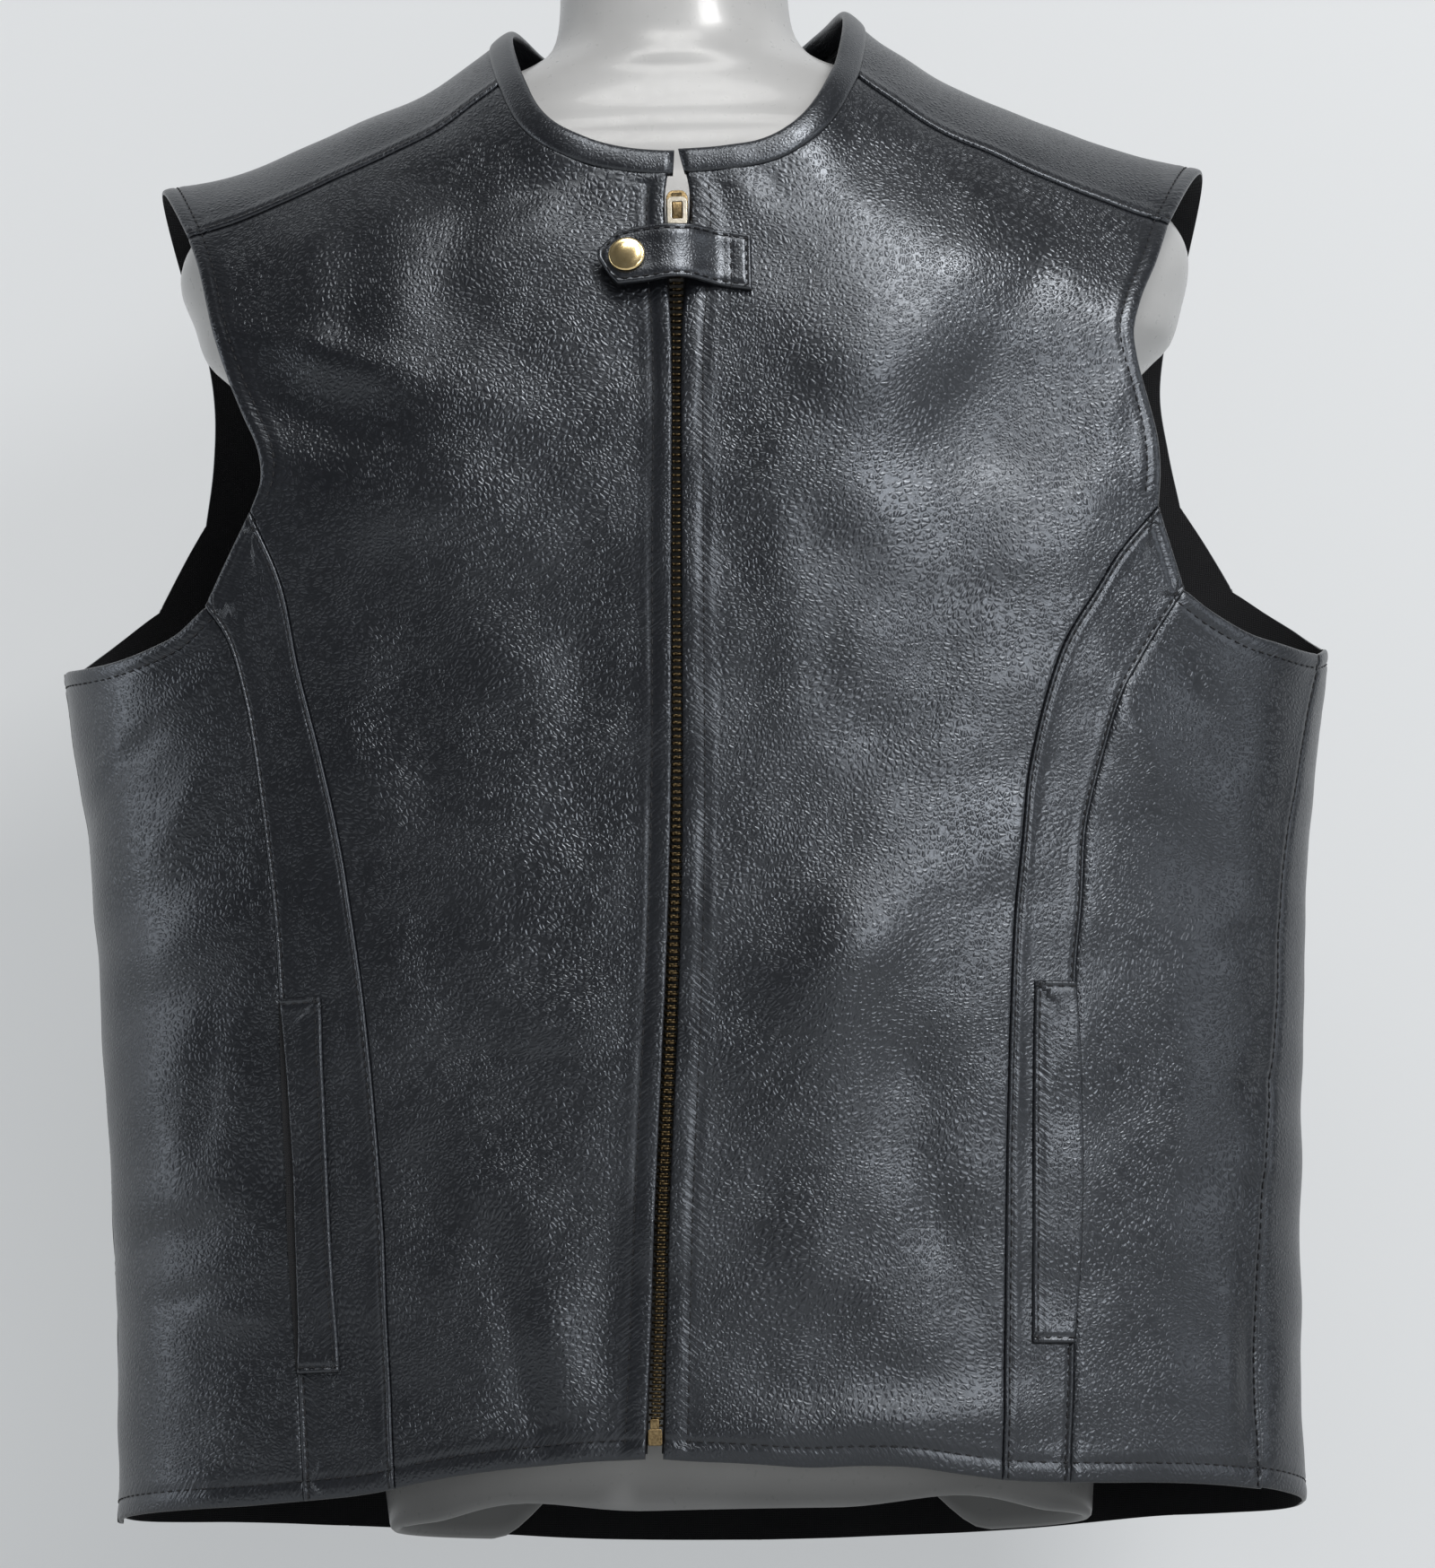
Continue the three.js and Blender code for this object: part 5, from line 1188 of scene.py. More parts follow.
# Distances from the seam
SLIT_ACROSS = [-0.3, 2.0, 4.4]
slit_z = np.linspace(*SLIT_ENDS, SLIT_ROWS)[:, None]
slit_x = smooth(STRIP_SIDE_SEAM["left"], slit_z) + np.array([SLIT_ACROSS])
slit_z = slit_z + 0 * slit_x
slit_turn = turn_at(slit_x, slit_z, -1)
slit_points = body_point(slit_turn, slit_z) + SLIT_LIFT * body_normal(slit_turn, slit_z)
slit_faces = grid_faces(SLIT_ROWS, len(SLIT_ACROSS))
# Matte black sheet lying on the strip's leather: painted shade in the slit
slit = new_object("slit_left_inside", in_frame(slit_points.reshape(-1, 3)), slit_faces, [INNER_FACE])
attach(slit, "vest")
print("slit:", len(slit_faces), "faces")

# %% Snap tab
# (x, top, bottom, height of the underside above the fronts)
TAB_OUTLINE = [
    (-38.2, 521.4, 519, 5.4), (-33.5, 526, 510.8, 5.8), (-29.5, 529.8, 506, 6.2), (-22, 531.2, 506.4, 6.85),
    (-16, 531.8, 507, 7.4), (-10, 532, 507.8, 8.4), (-4, 532, 508.2, 8.2), (2, 532.6, 508.2, 6.4),
    (8, 532.7, 507.8, 2.8), (13, 532.2, 507, 0.6), (19, 531.3, 505.8, 0.3), (26.5, 530, 504.4, 0.3),
]
TAB_THICKNESS = 2.4
TAB_WIDTH = 26
# Distances in from the edge of the stitches, and of the box of stitches at the fixed end
TAB_STITCH = 2.0
TAB_BOX = 8.6
TAB_POINT_START = -29.5
TAB_EDGE_ROWS = np.array([0, 0.25, 0.6, 1.0, 1.5, 2.0, 2.5, 3.2])
TAB_EDGE = TAB_EDGE_ROWS[-1]


def tab_lift(x):
    """Height of the tab's underside above the fronts."""
    return smooth(TAB_OUTLINE, x, 3)


def tab_point(x, z, off):
    """Point on the tab, and the cloth's direction there."""
    turn = turn_at(x, z, -1)
    normal = body_normal(turn, z)
    return body_point(turn, z) + normal * (tab_lift(x) + off)[..., None], normal


def snap_tab():
    """Pointed strap: two layers sewn round the edge, with a box of stitches at its fixed end."""
    length = TAB_OUTLINE[-1][0] - TAB_OUTLINE[0][0]
    near = TAB_EDGE_ROWS
    middle = np.arange(TAB_EDGE, length - TAB_EDGE, 0.9)
    rows = np.unique(np.concatenate([near, middle, length - near])) / length
    middle = np.arange(TAB_EDGE, TAB_WIDTH - TAB_EDGE, 1.3)
    columns = np.unique(np.concatenate([near, middle, TAB_WIDTH - near])) / TAB_WIDTH
    x = TAB_OUTLINE[0][0] + length * rows
    top = np.interp(x, [row[0] for row in TAB_OUTLINE], [row[1] for row in TAB_OUTLINE])
    low = np.interp(x, [row[0] for row in TAB_OUTLINE], [row[2] for row in TAB_OUTLINE])
    x = x[:, None] + 0 * columns[None, :]
    z = low[:, None] + (top - low)[:, None] * columns[None, :]
    points, normals = tab_point(x, z, 0 * x)
    side = np.minimum(columns, 1 - columns)[None, :] * (top - low)[:, None]
    tip = (rows * length)[:, None] + 0 * side
    # At the point the edges slant, so the distance square to them is shorter
    slant = np.where(x < TAB_POINT_START, 0.8, 1.0)
    edge = np.minimum(side * slant, np.minimum(tip, length - tip))
    rounding = np.clip(1 - edge / 1.2, 0, 1)
    rise = -0.9 * (1 - np.sqrt(1 - rounding ** 2))
    rise -= 0.42 * np.exp(-(((edge - TAB_STITCH) / 0.5) ** 2))
    rise -= 0.35 * np.exp(-(((length - tip - TAB_BOX) / 0.5) ** 2)) * (side > 1.2)
    rise += 0.35 * np.exp(-(((edge - 4.5) / 2.4) ** 2))
    outer = points + normals * (TAB_THICKNESS + rise)[..., None]
    pull = np.stack([x, edge, np.exp(-(((edge - TAB_STITCH) / 2.5) ** 2)) * 0.6], axis=-1)
    grid = {"plain": points, "outer": outer, "normals": normals, "pull": pull,
            "rows": rows, "columns": columns}
    PANELS["tab"] = grid
    made = shell("snap_tab_hide", grid, 0, 0.15, [LEATHER_SMOOTH, LEATHER_SMOOTH])
    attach(made, "vest")
    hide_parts("snap_tab")
    grid["object"] = made


snap_tab()
print("snap tab: 1")

# %% [markdown]
# ## Snap
# A snap cap is a thin brass disc pressed to a low dome with its rim rolled under. A turned
# profile gives both. The stud behind it, another turned piece, is kept from the frame, hidden but for its
# edge.

# %% Turned pieces
SNAP_PLACE = (-25.6, 518)
SNAP_STEP = 4
CAP_SEAT = 0.3
CAP_SIDES = 48
CAP_PROFILE = [
    (0, 0.2), (6.4, 0.2), (7.3, 0.35), (7.7, 0.8), (7.65, 1.25), (7.2, 1.62), (6.6, 1.78), (6.1, 1.8),
    (5.0, 2.12), (3.6, 2.38), (1.9, 2.54), (0, 2.6),
]


def turned(name, profile, sides, base, outward, material):
    """Round piece whose profile is (radius, height) rows along its own axis."""
    outward = Vector(outward).normalized()
    across = outward.orthogonal().normalized()
    over = outward.cross(across)
    vertices = []
    inner = [row for row in profile if row[0] > 0]
    for radius, height in inner:
        for k in range(sides):
            angle = 2 * math.pi * k / sides
            spoke = across * math.cos(angle) + over * math.sin(angle)
            vertices.append(Vector(base) + spoke * radius + outward * height)
    faces = ring_faces(len(inner), sides)
    last = (len(inner) - 1) * sides
    vertices.append(Vector(base) + outward * profile[0][1])
    vertices.append(Vector(base) + outward * profile[-1][1])
    for k in range(sides):
        after = (k + 1) % sides
        faces.append((len(vertices) - 2, after, k))
        faces.append((len(vertices) - 1, last + k, last + after))
    made = new_object(name, in_frame([tuple(v) for v in vertices]), faces, [material])
    facing_out(name)
    return made


def tab_underside(x, z):
    """One point on the underside of the tab."""
    return tab_point(np.array([x]), np.array([z]), np.zeros(1))[0][0]


snap_x, snap_z = SNAP_PLACE
snap_base = tab_underside(snap_x, snap_z)
snap_across = tab_underside(snap_x + SNAP_STEP, snap_z) - tab_underside(snap_x - SNAP_STEP, snap_z)
snap_up = tab_underside(snap_x, snap_z + SNAP_STEP) - tab_underside(snap_x, snap_z - SNAP_STEP)
snap_out = unit(np.cross(snap_across, snap_up))
cap_base = snap_base + snap_out * (TAB_THICKNESS + CAP_SEAT)
cap = turned("snap_cap_brass", CAP_PROFILE, CAP_SIDES, cap_base, snap_out, POLISHED_BRASS)
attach(cap, "vest")
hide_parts("snap_cap")
print("snap cap:", round(2 * max(row[0] for row in CAP_PROFILE), 1), "mm across")

# %% [markdown]
# ## Sewing, with Geometry Nodes
# One lockstitch is a short bar of thread that dips into its holes at both ends. Thousands of
# them follow the seams, so Geometry Nodes place them: each seam is a chain of edges, the tree
# walks along it at one stitch length, and puts a small thread bar at every step, turned with
# the seam and with the leather. The export drops instances, so the tree makes them real.

# %% Helpers for geometry nodes
def new_tree(name, inputs):
    """Geometry node tree with a geometry socket and named sizes."""
    tree = bpy.data.node_groups.new(name, "GeometryNodeTree")
    tree.interface.new_socket(name="Geometry", in_out="INPUT", socket_type="NodeSocketGeometry")
    for label, kind, value in inputs:
        socket = tree.interface.new_socket(name=label, in_out="INPUT", socket_type=kind)
        if value is not None:
            socket.default_value = value
    tree.interface.new_socket(name="Geometry", in_out="OUTPUT", socket_type="NodeSocketGeometry")
    return tree, node(tree, "NodeGroupInput", -900), node(tree, "NodeGroupOutput", 900)


def chains(name, lines):
    """Mesh of edge chains with the leather's direction and a side at every point."""
    vertices, edges, directions, sides = [], [], [], []
    for points, normals, side in lines:
        start = len(vertices)
        vertices += [tuple(v) for v in in_frame(points)]
        edges += [(start + k, start + k + 1) for k in range(len(points) - 1)]
        directions.append(normals)
        sides += [side] * len(points)
    mesh = bpy.data.meshes.new(name)
    mesh.from_pydata(vertices, edges, [])
    mesh.attributes.new("leather_out", "FLOAT_VECTOR", "POINT").data.foreach_set(
        "vector", np.concatenate(directions).astype(np.float32).ravel())
    mesh.attributes.new("side", "FLOAT", "POINT").data.foreach_set("value", np.array(sides, np.float32))
    found = bpy.data.objects.new(name, mesh)
    bpy.context.scene.collection.objects.link(found)
    return found


def grown(source, tree, values, name):
    """Plain mesh that a tree makes from a chain object, which is then removed."""
    modifier = source.modifiers.new("grow", "NODES")
    modifier.node_group = tree
    for socket in tree.interface.items_tree:
        if socket.in_out == "INPUT" and socket.name in values:
            modifier[socket.identifier] = values[socket.name]
    bpy.context.view_layer.update()
    evaluated = source.evaluated_get(bpy.context.evaluated_depsgraph_get())
    mesh = bpy.data.meshes.new_from_object(evaluated)
    mesh.name = name
    bpy.data.objects.remove(source)
    found = bpy.data.objects.new(name, mesh)
    bpy.context.scene.collection.objects.link(found)
    return found


def turned_instances(tree, curve, instance, flip):
    """Instances along a curve, X or flipped Z along it, and the rest turned with the leather."""
    links = tree.links
    tangent = node(tree, "GeometryNodeInputTangent", -300, -200)
    outward = node(tree, "GeometryNodeInputNamedAttribute", -300, -350, data_type="FLOAT_VECTOR")
    outward.inputs["Name"].default_value = "leather_out"
    way = tangent.outputs[0]
    if flip:
        side = node(tree, "GeometryNodeInputNamedAttribute", -300, -500, data_type="FLOAT")
        side.inputs["Name"].default_value = "side"
        scaled = node(tree, "ShaderNodeVectorMath", -150, -200, operation="SCALE")
        links.new(way, scaled.inputs[0])
        links.new(side.outputs["Attribute"], scaled.inputs["Scale"])
        way = scaled.outputs[0]
    first = node(tree, "FunctionNodeAlignRotationToVector", 0, -200, axis="Z" if flip else "X")
    links.new(way, first.inputs["Vector"])
    second = node(tree, "FunctionNodeAlignRotationToVector", 200, -200, axis="Y" if flip else "Z",
                  pivot_axis="Z" if flip else "X")
    links.new(first.outputs["Rotation"], second.inputs["Rotation"])
    links.new(outward.outputs["Attribute"], second.inputs["Vector"])
    placed = node(tree, "GeometryNodeInstanceOnPoints", 400, 0)
    links.new(curve, placed.inputs["Points"])
    links.new(instance, placed.inputs["Instance"])
    links.new(second.outputs["Rotation"], placed.inputs["Rotation"])
    return placed


def finish_tree(tree, given, result, placed):
    """Real, smooth geometry in its material."""
    real = node(tree, "GeometryNodeRealizeInstances", 500, 100)
    shaded = node(tree, "GeometryNodeSetShadeSmooth", 600, 100)
    painted = node(tree, "GeometryNodeSetMaterial", 750, 100)
    tree.links.new(placed, real.inputs[0])
    tree.links.new(real.outputs[0], shaded.inputs["Geometry"])
    tree.links.new(shaded.outputs[0], painted.inputs["Geometry"])
    tree.links.new(given.outputs["Material"], painted.inputs["Material"])
    tree.links.new(painted.outputs[0], result.inputs["Geometry"])


def walk(tree, given):
    """Chain turned into a curve with points at one pitch."""
    curve = node(tree, "GeometryNodeMeshToCurve", -700, 100)
    even = node(tree, "GeometryNodeResampleCurve", -500, 100, mode="LENGTH")
    tree.links.new(given.outputs["Geometry"], curve.inputs[0])
    tree.links.new(curve.outputs[0], even.inputs["Curve"])
    tree.links.new(given.outputs["Pitch"], even.inputs["Length"])
    return even.outputs[0]


# %% Stitch tree
def stitch_tree():
    """Thread bars along a seam, each a little different in length."""
    tree, given, result = new_tree("lockstitch", [
        ("Pitch", "NodeSocketFloat", 0.0043), ("Length", "NodeSocketFloat", 0.0031),
        ("Width", "NodeSocketFloat", 0.0008), ("Seed", "NodeSocketInt", 4),
        ("Material", "NodeSocketMaterial", None),
    ])
    links = tree.links
    thread = node(tree, "GeometryNodeMeshUVSphere", -300, 300)
    thread.inputs["Segments"].default_value = 6
    thread.inputs["Rings"].default_value = 4
    thread.inputs["Radius"].default_value = 0.5
    size = node(tree, "ShaderNodeCombineXYZ", -300, 150)
    links.new(given.outputs["Length"], size.inputs["X"])
    links.new(given.outputs["Width"], size.inputs["Y"])
    links.new(given.outputs["Width"], size.inputs["Z"])
    bar = node(tree, "GeometryNodeTransform", -100, 250)
    links.new(thread.outputs["Mesh"], bar.inputs["Geometry"])
    links.new(size.outputs[0], bar.inputs["Scale"])
    placed = turned_instances(tree, walk(tree, given), bar.outputs[0], False)
    uneven = node(tree, "FunctionNodeRandomValue", 200, 250, data_type="FLOAT")
    uneven.inputs["Min"].default_value = 0.88
    uneven.inputs["Max"].default_value = 1.1
    links.new(given.outputs["Seed"], uneven.inputs["Seed"])
    links.new([s for s in uneven.outputs if s.enabled][0], placed.inputs["Scale"])
    finish_tree(tree, given, result, placed.outputs[0])
    return tree


LOCKSTITCH = stitch_tree()
print("tree:", LOCKSTITCH.name)

# %% [markdown]
# ## Where the stitch lines run
# Each line is found on the finished leather itself: at every row of a panel, the point at the
# sewing distance from an edge. The chains then lie in the grooves that the panels already have.


# %% Stitch lines
THREAD_LIFT = 0.18
CORNER_STEPS = 9


def stitch_line(name, edge, kind, low=0.0, high=1.0, guard=1.5):
    """Points in the groove beside an edge, between two shares of it."""
    grid = PANELS[name]
    upright = edge in ("left", "right")
    sewn = STITCH_IN[kind]
    shares = grid["rows"] if upright else grid["columns"]
    found, directions = [], []
    ends = [grid["distance"][k] for k in (("bottom", "top") if upright else ("left", "right"))]
    for index, share in enumerate(shares):
        if not low <= share <= high:
            continue
        pick = (index, slice(None)) if upright else (slice(None), index)
        d = grid["distance"][edge][pick]
        order = np.argsort(d)
        if d.max() < sewn or min(np.interp(sewn, d[order], end[pick][order]) for end in ends) < guard:
            continue
        layers = (grid["outer"][pick], grid["normals"][pick])
        values = [[np.interp(sewn, d[order], layer[order, k]) for k in range(3)] for layer in layers]
        found.append(np.array(values[0]) + THREAD_LIFT * np.array(values[1]))
        directions.append(values[1])
    return np.array(found), np.array(directions), 1.0


def seam_rows(face):
    """All the stitch lines of the front or the back."""
    lines = []
    for side in SIDES:
        if face == "front":
            lines += [
                stitch_line(f"front_{side}", "left", f"zip_{side}", 0, NECK_SHARE - 0.004, 7.5),
                stitch_line(f"front_{side}", "bottom", "hem", guard=9 if side == "left" else 10),
                stitch_line(f"front_{side}", "right", "armhole", SEAM_SHARE + 0.01, 1),
            ]
        else:
            lines += [
                stitch_line(f"back_{side}", "bottom", "hem"),
                stitch_line(f"back_{side}", "right", "armhole", SEAM_SHARE + 0.01, 1),
            ]
        lines += [
            stitch_line(f"strip_{face}_{side}", "left", "lap"),
            stitch_line(f"strip_{face}_{side}", "right", "lap"),
            stitch_line(f"strip_{face}_{side}", "bottom", "hem"),
            stitch_line(f"side_{face}_{side}", "bottom", "hem"),
            stitch_line(f"side_{face}_{side}", "top", "armhole"),
        ]
    return lines


front_lines = seam_rows("front")
for side in SIDES:
    front_lines += [
        stitch_line(f"side_front_{side}", "right", "lap"),
        stitch_line(f"yoke_{side}", "bottom", "yoke"),
        stitch_line(f"yoke_{side}", "right", "armhole"),
        stitch_line(f"welt_{side}", "right", "lap"),
        stitch_line(f"welt_{side}", "bottom", "lap"),
        stitch_line(f"welt_{side}", "top", "lap"),
    ]
back_lines = seam_rows("back")
back_lines += [stitch_line("back_left", "left", "lap")]
back_lines += [stitch_line(f"yoke_{side}", "top", "yoke") for side in SIDES]


def tab_lines():
    """Stitches round the tab and across its fixed end."""
    inset = TAB_STITCH
    low = [(row[0], row[2] + inset) for row in TAB_OUTLINE[1:]]
    high = [(row[0], row[1] - inset) for row in TAB_OUTLINE[1:]]
    right = TAB_OUTLINE[-1][0]
    around = [(right - inset, high[-1][1]), *high[::-1][1:], (TAB_OUTLINE[0][0] + 2.6, 520.2),
              *low[:-1], (right - inset, low[-1][1]), (right - inset, high[-1][1])]
    box = [(right - TAB_BOX, 529.5), (right - TAB_BOX, 506.5)]
    found = []
    for places in (around, box):
        parts = [np.linspace(a, b, CORNER_STEPS)[:-1] for a, b in zip(places[:-1], places[1:])]
        dense = np.concatenate(parts + [places[-1:]])
        point, normal = tab_point(dense[:, 0], dense[:, 1], np.full(len(dense), TAB_THICKNESS + 0.1))
        found.append((point, normal, 1.0))
    return found


for name, lines in (("stitches_front", front_lines + tab_lines()), ("stitches_back", back_lines)):
    lines = [line for line in lines if len(line[0]) > 2]
    made = grown(chains(f"{name}_path", lines), LOCKSTITCH, {"Material": THREAD}, name)
    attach(made, "vest")
    print(name, len(lines), "lines,", len(made.data.polygons), "faces")

# %% [markdown]
# ## Zip
# The teeth are brass pieces clamped on the tape's edge, half a pitch apart on the two sides, so
# that each head sits between two of the other side. One tree makes both rows. It is told at each
# point which side it is on, and turns the tooth over there.

# %% Tooth tree
TOOTH_PITCH = 2.9
# In metres: how far the bar lies back from the line, and the head's size and reach beyond it
TOOTH_BAR_BACK = 0.0007
TOOTH_HEAD = (0.0019, 0.0018, 0.0014)
TOOTH_HEAD_REACH = 0.0012


def tooth_tree():
    """Zip teeth along a line, each a bar from the tape with a rounded head."""
    tree, given, result = new_tree("zip_tooth", [
        ("Pitch", "NodeSocketFloat", TOOTH_PITCH * METRES), ("Length", "NodeSocketFloat", 0.0046),
        ("Height", "NodeSocketFloat", 0.0011), ("Depth", "NodeSocketFloat", 0.0016),
        ("Material", "NodeSocketMaterial", None),
    ])
    links = tree.links
    ball = node(tree, "GeometryNodeMeshUVSphere", -500, 500)
    ball.inputs["Segments"].default_value = 8
    ball.inputs["Rings"].default_value = 5
    ball.inputs["Radius"].default_value = 0.5
    bar = node(tree, "GeometryNodeMeshCylinder", -500, 300)
    bar.inputs["Vertices"].default_value = 8
    bar.inputs["Radius"].default_value = 0.5
    bar.inputs["Depth"].default_value = 1.0
    bar_size = node(tree, "ShaderNodeCombineXYZ", -300, 250)
    links.new(given.outputs["Height"], bar_size.inputs["X"])
    links.new(given.outputs["Depth"], bar_size.inputs["Y"])
    links.new(given.outputs["Length"], bar_size.inputs["Z"])
    laid = node(tree, "GeometryNodeTransform", -100, 350)
    links.new(bar.outputs["Mesh"], laid.inputs["Geometry"])
    links.new(bar_size.outputs[0], laid.inputs["Scale"])
    across = node(tree, "GeometryNodeTransform", 50, 350)
    across.inputs["Rotation"].default_value = (0, math.pi / 2, 0)
    across.inputs["Translation"].default_value = (-TOOTH_BAR_BACK, 0, 0)
    links.new(laid.outputs[0], across.inputs["Geometry"])
    head = node(tree, "GeometryNodeTransform", -100, 550)
    head.inputs["Scale"].default_value = TOOTH_HEAD
    head.inputs["Translation"].default_value = (TOOTH_HEAD_REACH, 0, 0)
    links.new(ball.outputs["Mesh"], head.inputs["Geometry"])
    tooth = node(tree, "GeometryNodeJoinGeometry", 200, 400)
    links.new(across.outputs[0], tooth.inputs[0])
    links.new(head.outputs[0], tooth.inputs[0])
    placed = turned_instances(tree, walk(tree, given), tooth.outputs[0], True)
    finish_tree(tree, given, result, placed.outputs[0])
    return tree


# %% Teeth
CHAIN_ENDS = (30.5, 534.5)
# Height of the teeth against the cloth's face; the far row lies deeper, so that both rows show
CHAIN_HEIGHT = -2.3
FAR_TEETH_SINK = 0.7


def zip_line(z, off):
    """Points on the zip's centre line and the cloth's direction there."""
    turn = turn_at(smooth(ZIP_LINE, z), z, -1)
    normal = unit(body_normal(turn, z) * np.array([0, 1, 1]))
    return body_point(turn, z) + normal * off, normal


teeth_rows = []
for side, start in ((1.0, 0.0), (-1.0, TOOTH_PITCH / 2)):
    z = np.arange(CHAIN_ENDS[0] + start, CHAIN_ENDS[1], TOOTH_PITCH / 2)
    points, normals = zip_line(z, CHAIN_HEIGHT - (FAR_TEETH_SINK if side < 0 else 0))
    teeth_rows.append((points, normals, side))
teeth = grown(chains("teeth_path", teeth_rows), tooth_tree(), {"Material": TOOTH_BRASS}, "zip_teeth")
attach(teeth, "vest")
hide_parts("zip_chain")
print("zip teeth:", len(teeth.data.polygons), "faces")

# %% [markdown]
# ## Slider, pull and box
# The slider is a die-cast wedge with a bridge over it, and the pull is a stamped plate with a
# window that hangs on the bridge. Flat outlines pushed into plates with a small bevel give both,
# and the outline's own hole makes the window.


# %% Plates
def plate(name, outlines, thickness, bevel, material, holder):
    """Plate from flat outlines in mm; the second outline is a hole. holder places (across, out, up)."""
    curve = bpy.data.curves.new(name, "CURVE")
    curve.dimensions = "2D"
    curve.fill_mode = "BOTH"
    curve.extrude = thickness / 2 - bevel
    curve.bevel_depth = bevel
    curve.bevel_resolution = 2
    for outline in outlines:
        spline = curve.splines.new("POLY")
        spline.points.add(len(outline) - 1)
        for point, (across, up) in zip(spline.points, outline):
            point.co = (across, up, 0, 1)
        spline.use_cyclic_u = True
    carrier = bpy.data.objects.new(f"{name}_outline", curve)
    bpy.context.scene.collection.objects.link(carrier)
    bpy.context.view_layer.update()
    mesh = bpy.data.meshes.new_from_object(carrier.evaluated_get(bpy.context.evaluated_depsgraph_get()))
    bpy.data.objects.remove(carrier)
    mesh.name = name
    mesh.materials.clear()
    mesh.materials.append(material)
    for vertex in mesh.vertices:
        across, up, out = vertex.co
        vertex.co = in_frame(holder(across, out, up))
    found = bpy.data.objects.new(name, mesh)
    bpy.context.scene.collection.objects.link(found)
    shape = bmesh.new()
    shape.from_mesh(mesh)
    bmesh.ops.remove_doubles(shape, verts=shape.verts, dist=1e-6)
    bmesh.ops.recalc_face_normals(shape, faces=shape.faces)
    shape.to_mesh(mesh)
    shape.free()
    return found


def rounded(points, radius, steps=4):
    """Outline with its corners rounded."""
    found = []
    count = len(points)
    for index, corner in enumerate(points):
        corner = np.array(corner, float)
        before = np.array(points[index - 1], float)
        after = np.array(points[(index + 1) % count], float)
        reach = min(radius, np.linalg.norm(before - corner) / 2.2, np.linalg.norm(after - corner) / 2.2)
        a = corner + (before - corner) / np.linalg.norm(before - corner) * reach
        b = corner + (after - corner) / np.linalg.norm(after - corner) * reach
        for t in np.linspace(0, 1, steps):
            found.append(tuple((1 - t) ** 2 * a + 2 * t * (1 - t) * corner + t * t * b))
    return found


def zip_holder(z, off, lean=None):
    """Places (across, out, up) in mm on the zip at a height."""
    base, normal = zip_line(np.array([z]), off)
    base, normal = base[0], normal[0]
    angle = math.atan2(normal[2], -normal[1]) if lean is None else lean
    out_way = np.array([0, -math.cos(angle), math.sin(angle)])
    up_way = np.array([0, math.sin(angle), math.cos(angle)])
    return lambda across, out, up: base + np.array([across, 0, 0]) + out_way * out + up_way * up


def moved_out(holder, off):
    """Holder that places its plate further out."""
    return lambda across, out, up: holder(across, out + off, up)


def joined_objects(name, parts, body, slot, *nodes):
    """Several plates made one piece."""
    for part in parts:
        part.select_set(True)
    with bpy.context.temp_override(active_object=parts[0], selected_editable_objects=parts,
                                   selected_objects=parts):
        bpy.ops.object.join()
    parts[0].name = name
    parts[0].data.name = name
    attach(parts[0], body)
    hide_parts(*nodes)
    return parts[0]


# %% Slider
SLIDER_MIDDLE = 544.05
seat = zip_holder(SLIDER_MIDDLE, 0)
wedge = rounded([
    (-3.0, -7.6), (3.0, -7.6), (4.3, -1.5), (4.3, 5.0),
    (2.7, 7.6), (-2.7, 7.6), (-4.3, 5.0), (-4.3, -1.5),
], 1.6)
back_plate = plate("slider_back", [wedge], 1.1, 0.3, ANTIQUE_BRASS, moved_out(seat, -2.8))
front_plate = plate("slider_front", [wedge], 1.2, 0.35, ANTIQUE_BRASS, moved_out(seat, 0.2))
core = rounded([(-1.6, 1.5), (1.6, 1.5), (1.9, 7.2), (-1.9, 7.2)], 0.7)
core_plate = plate("slider_core", [core], 3.0, 0.2, ANTIQUE_BRASS, moved_out(seat, -1.3))
BRIDGE_LOW = -5.6
BRIDGE_HIGH = 6.0
BRIDGE_LENGTH = 11.6
BRIDGE_FOOT = 0.9
BRIDGE_RISE = 1.9
BRIDGE_HALF = 1.45
BRIDGE_WIDENING = 0.35


def bridge_holder(across, out, up):
    """Bridge bent up from the slider's front and back down to it."""
    share = np.clip((up - BRIDGE_LOW) / BRIDGE_LENGTH, 0, 1)
    arch = BRIDGE_RISE * math.sin(math.pi * share) ** 0.6
    return seat(across, out + BRIDGE_FOOT + arch, up)


bridge_outline = []
for up in np.linspace(BRIDGE_LOW, BRIDGE_HIGH, 14):
    half = BRIDGE_HALF + BRIDGE_WIDENING * (up - BRIDGE_LOW) / BRIDGE_LENGTH
    bridge_outline.append((half, float(up)))
bridge_outline += [(-a, u) for a, u in bridge_outline[::-1]]
bridge = plate("slider_bridge", [bridge_outline], 1.3, 0.4, ANTIQUE_BRASS, bridge_holder)
slider = joined_objects("zip_slider_brass", [back_plate, front_plate, core_plate, bridge], "vest",
                        "antique_brass", "zip_slider")
print("slider:", len(slider.data.polygons), "faces")

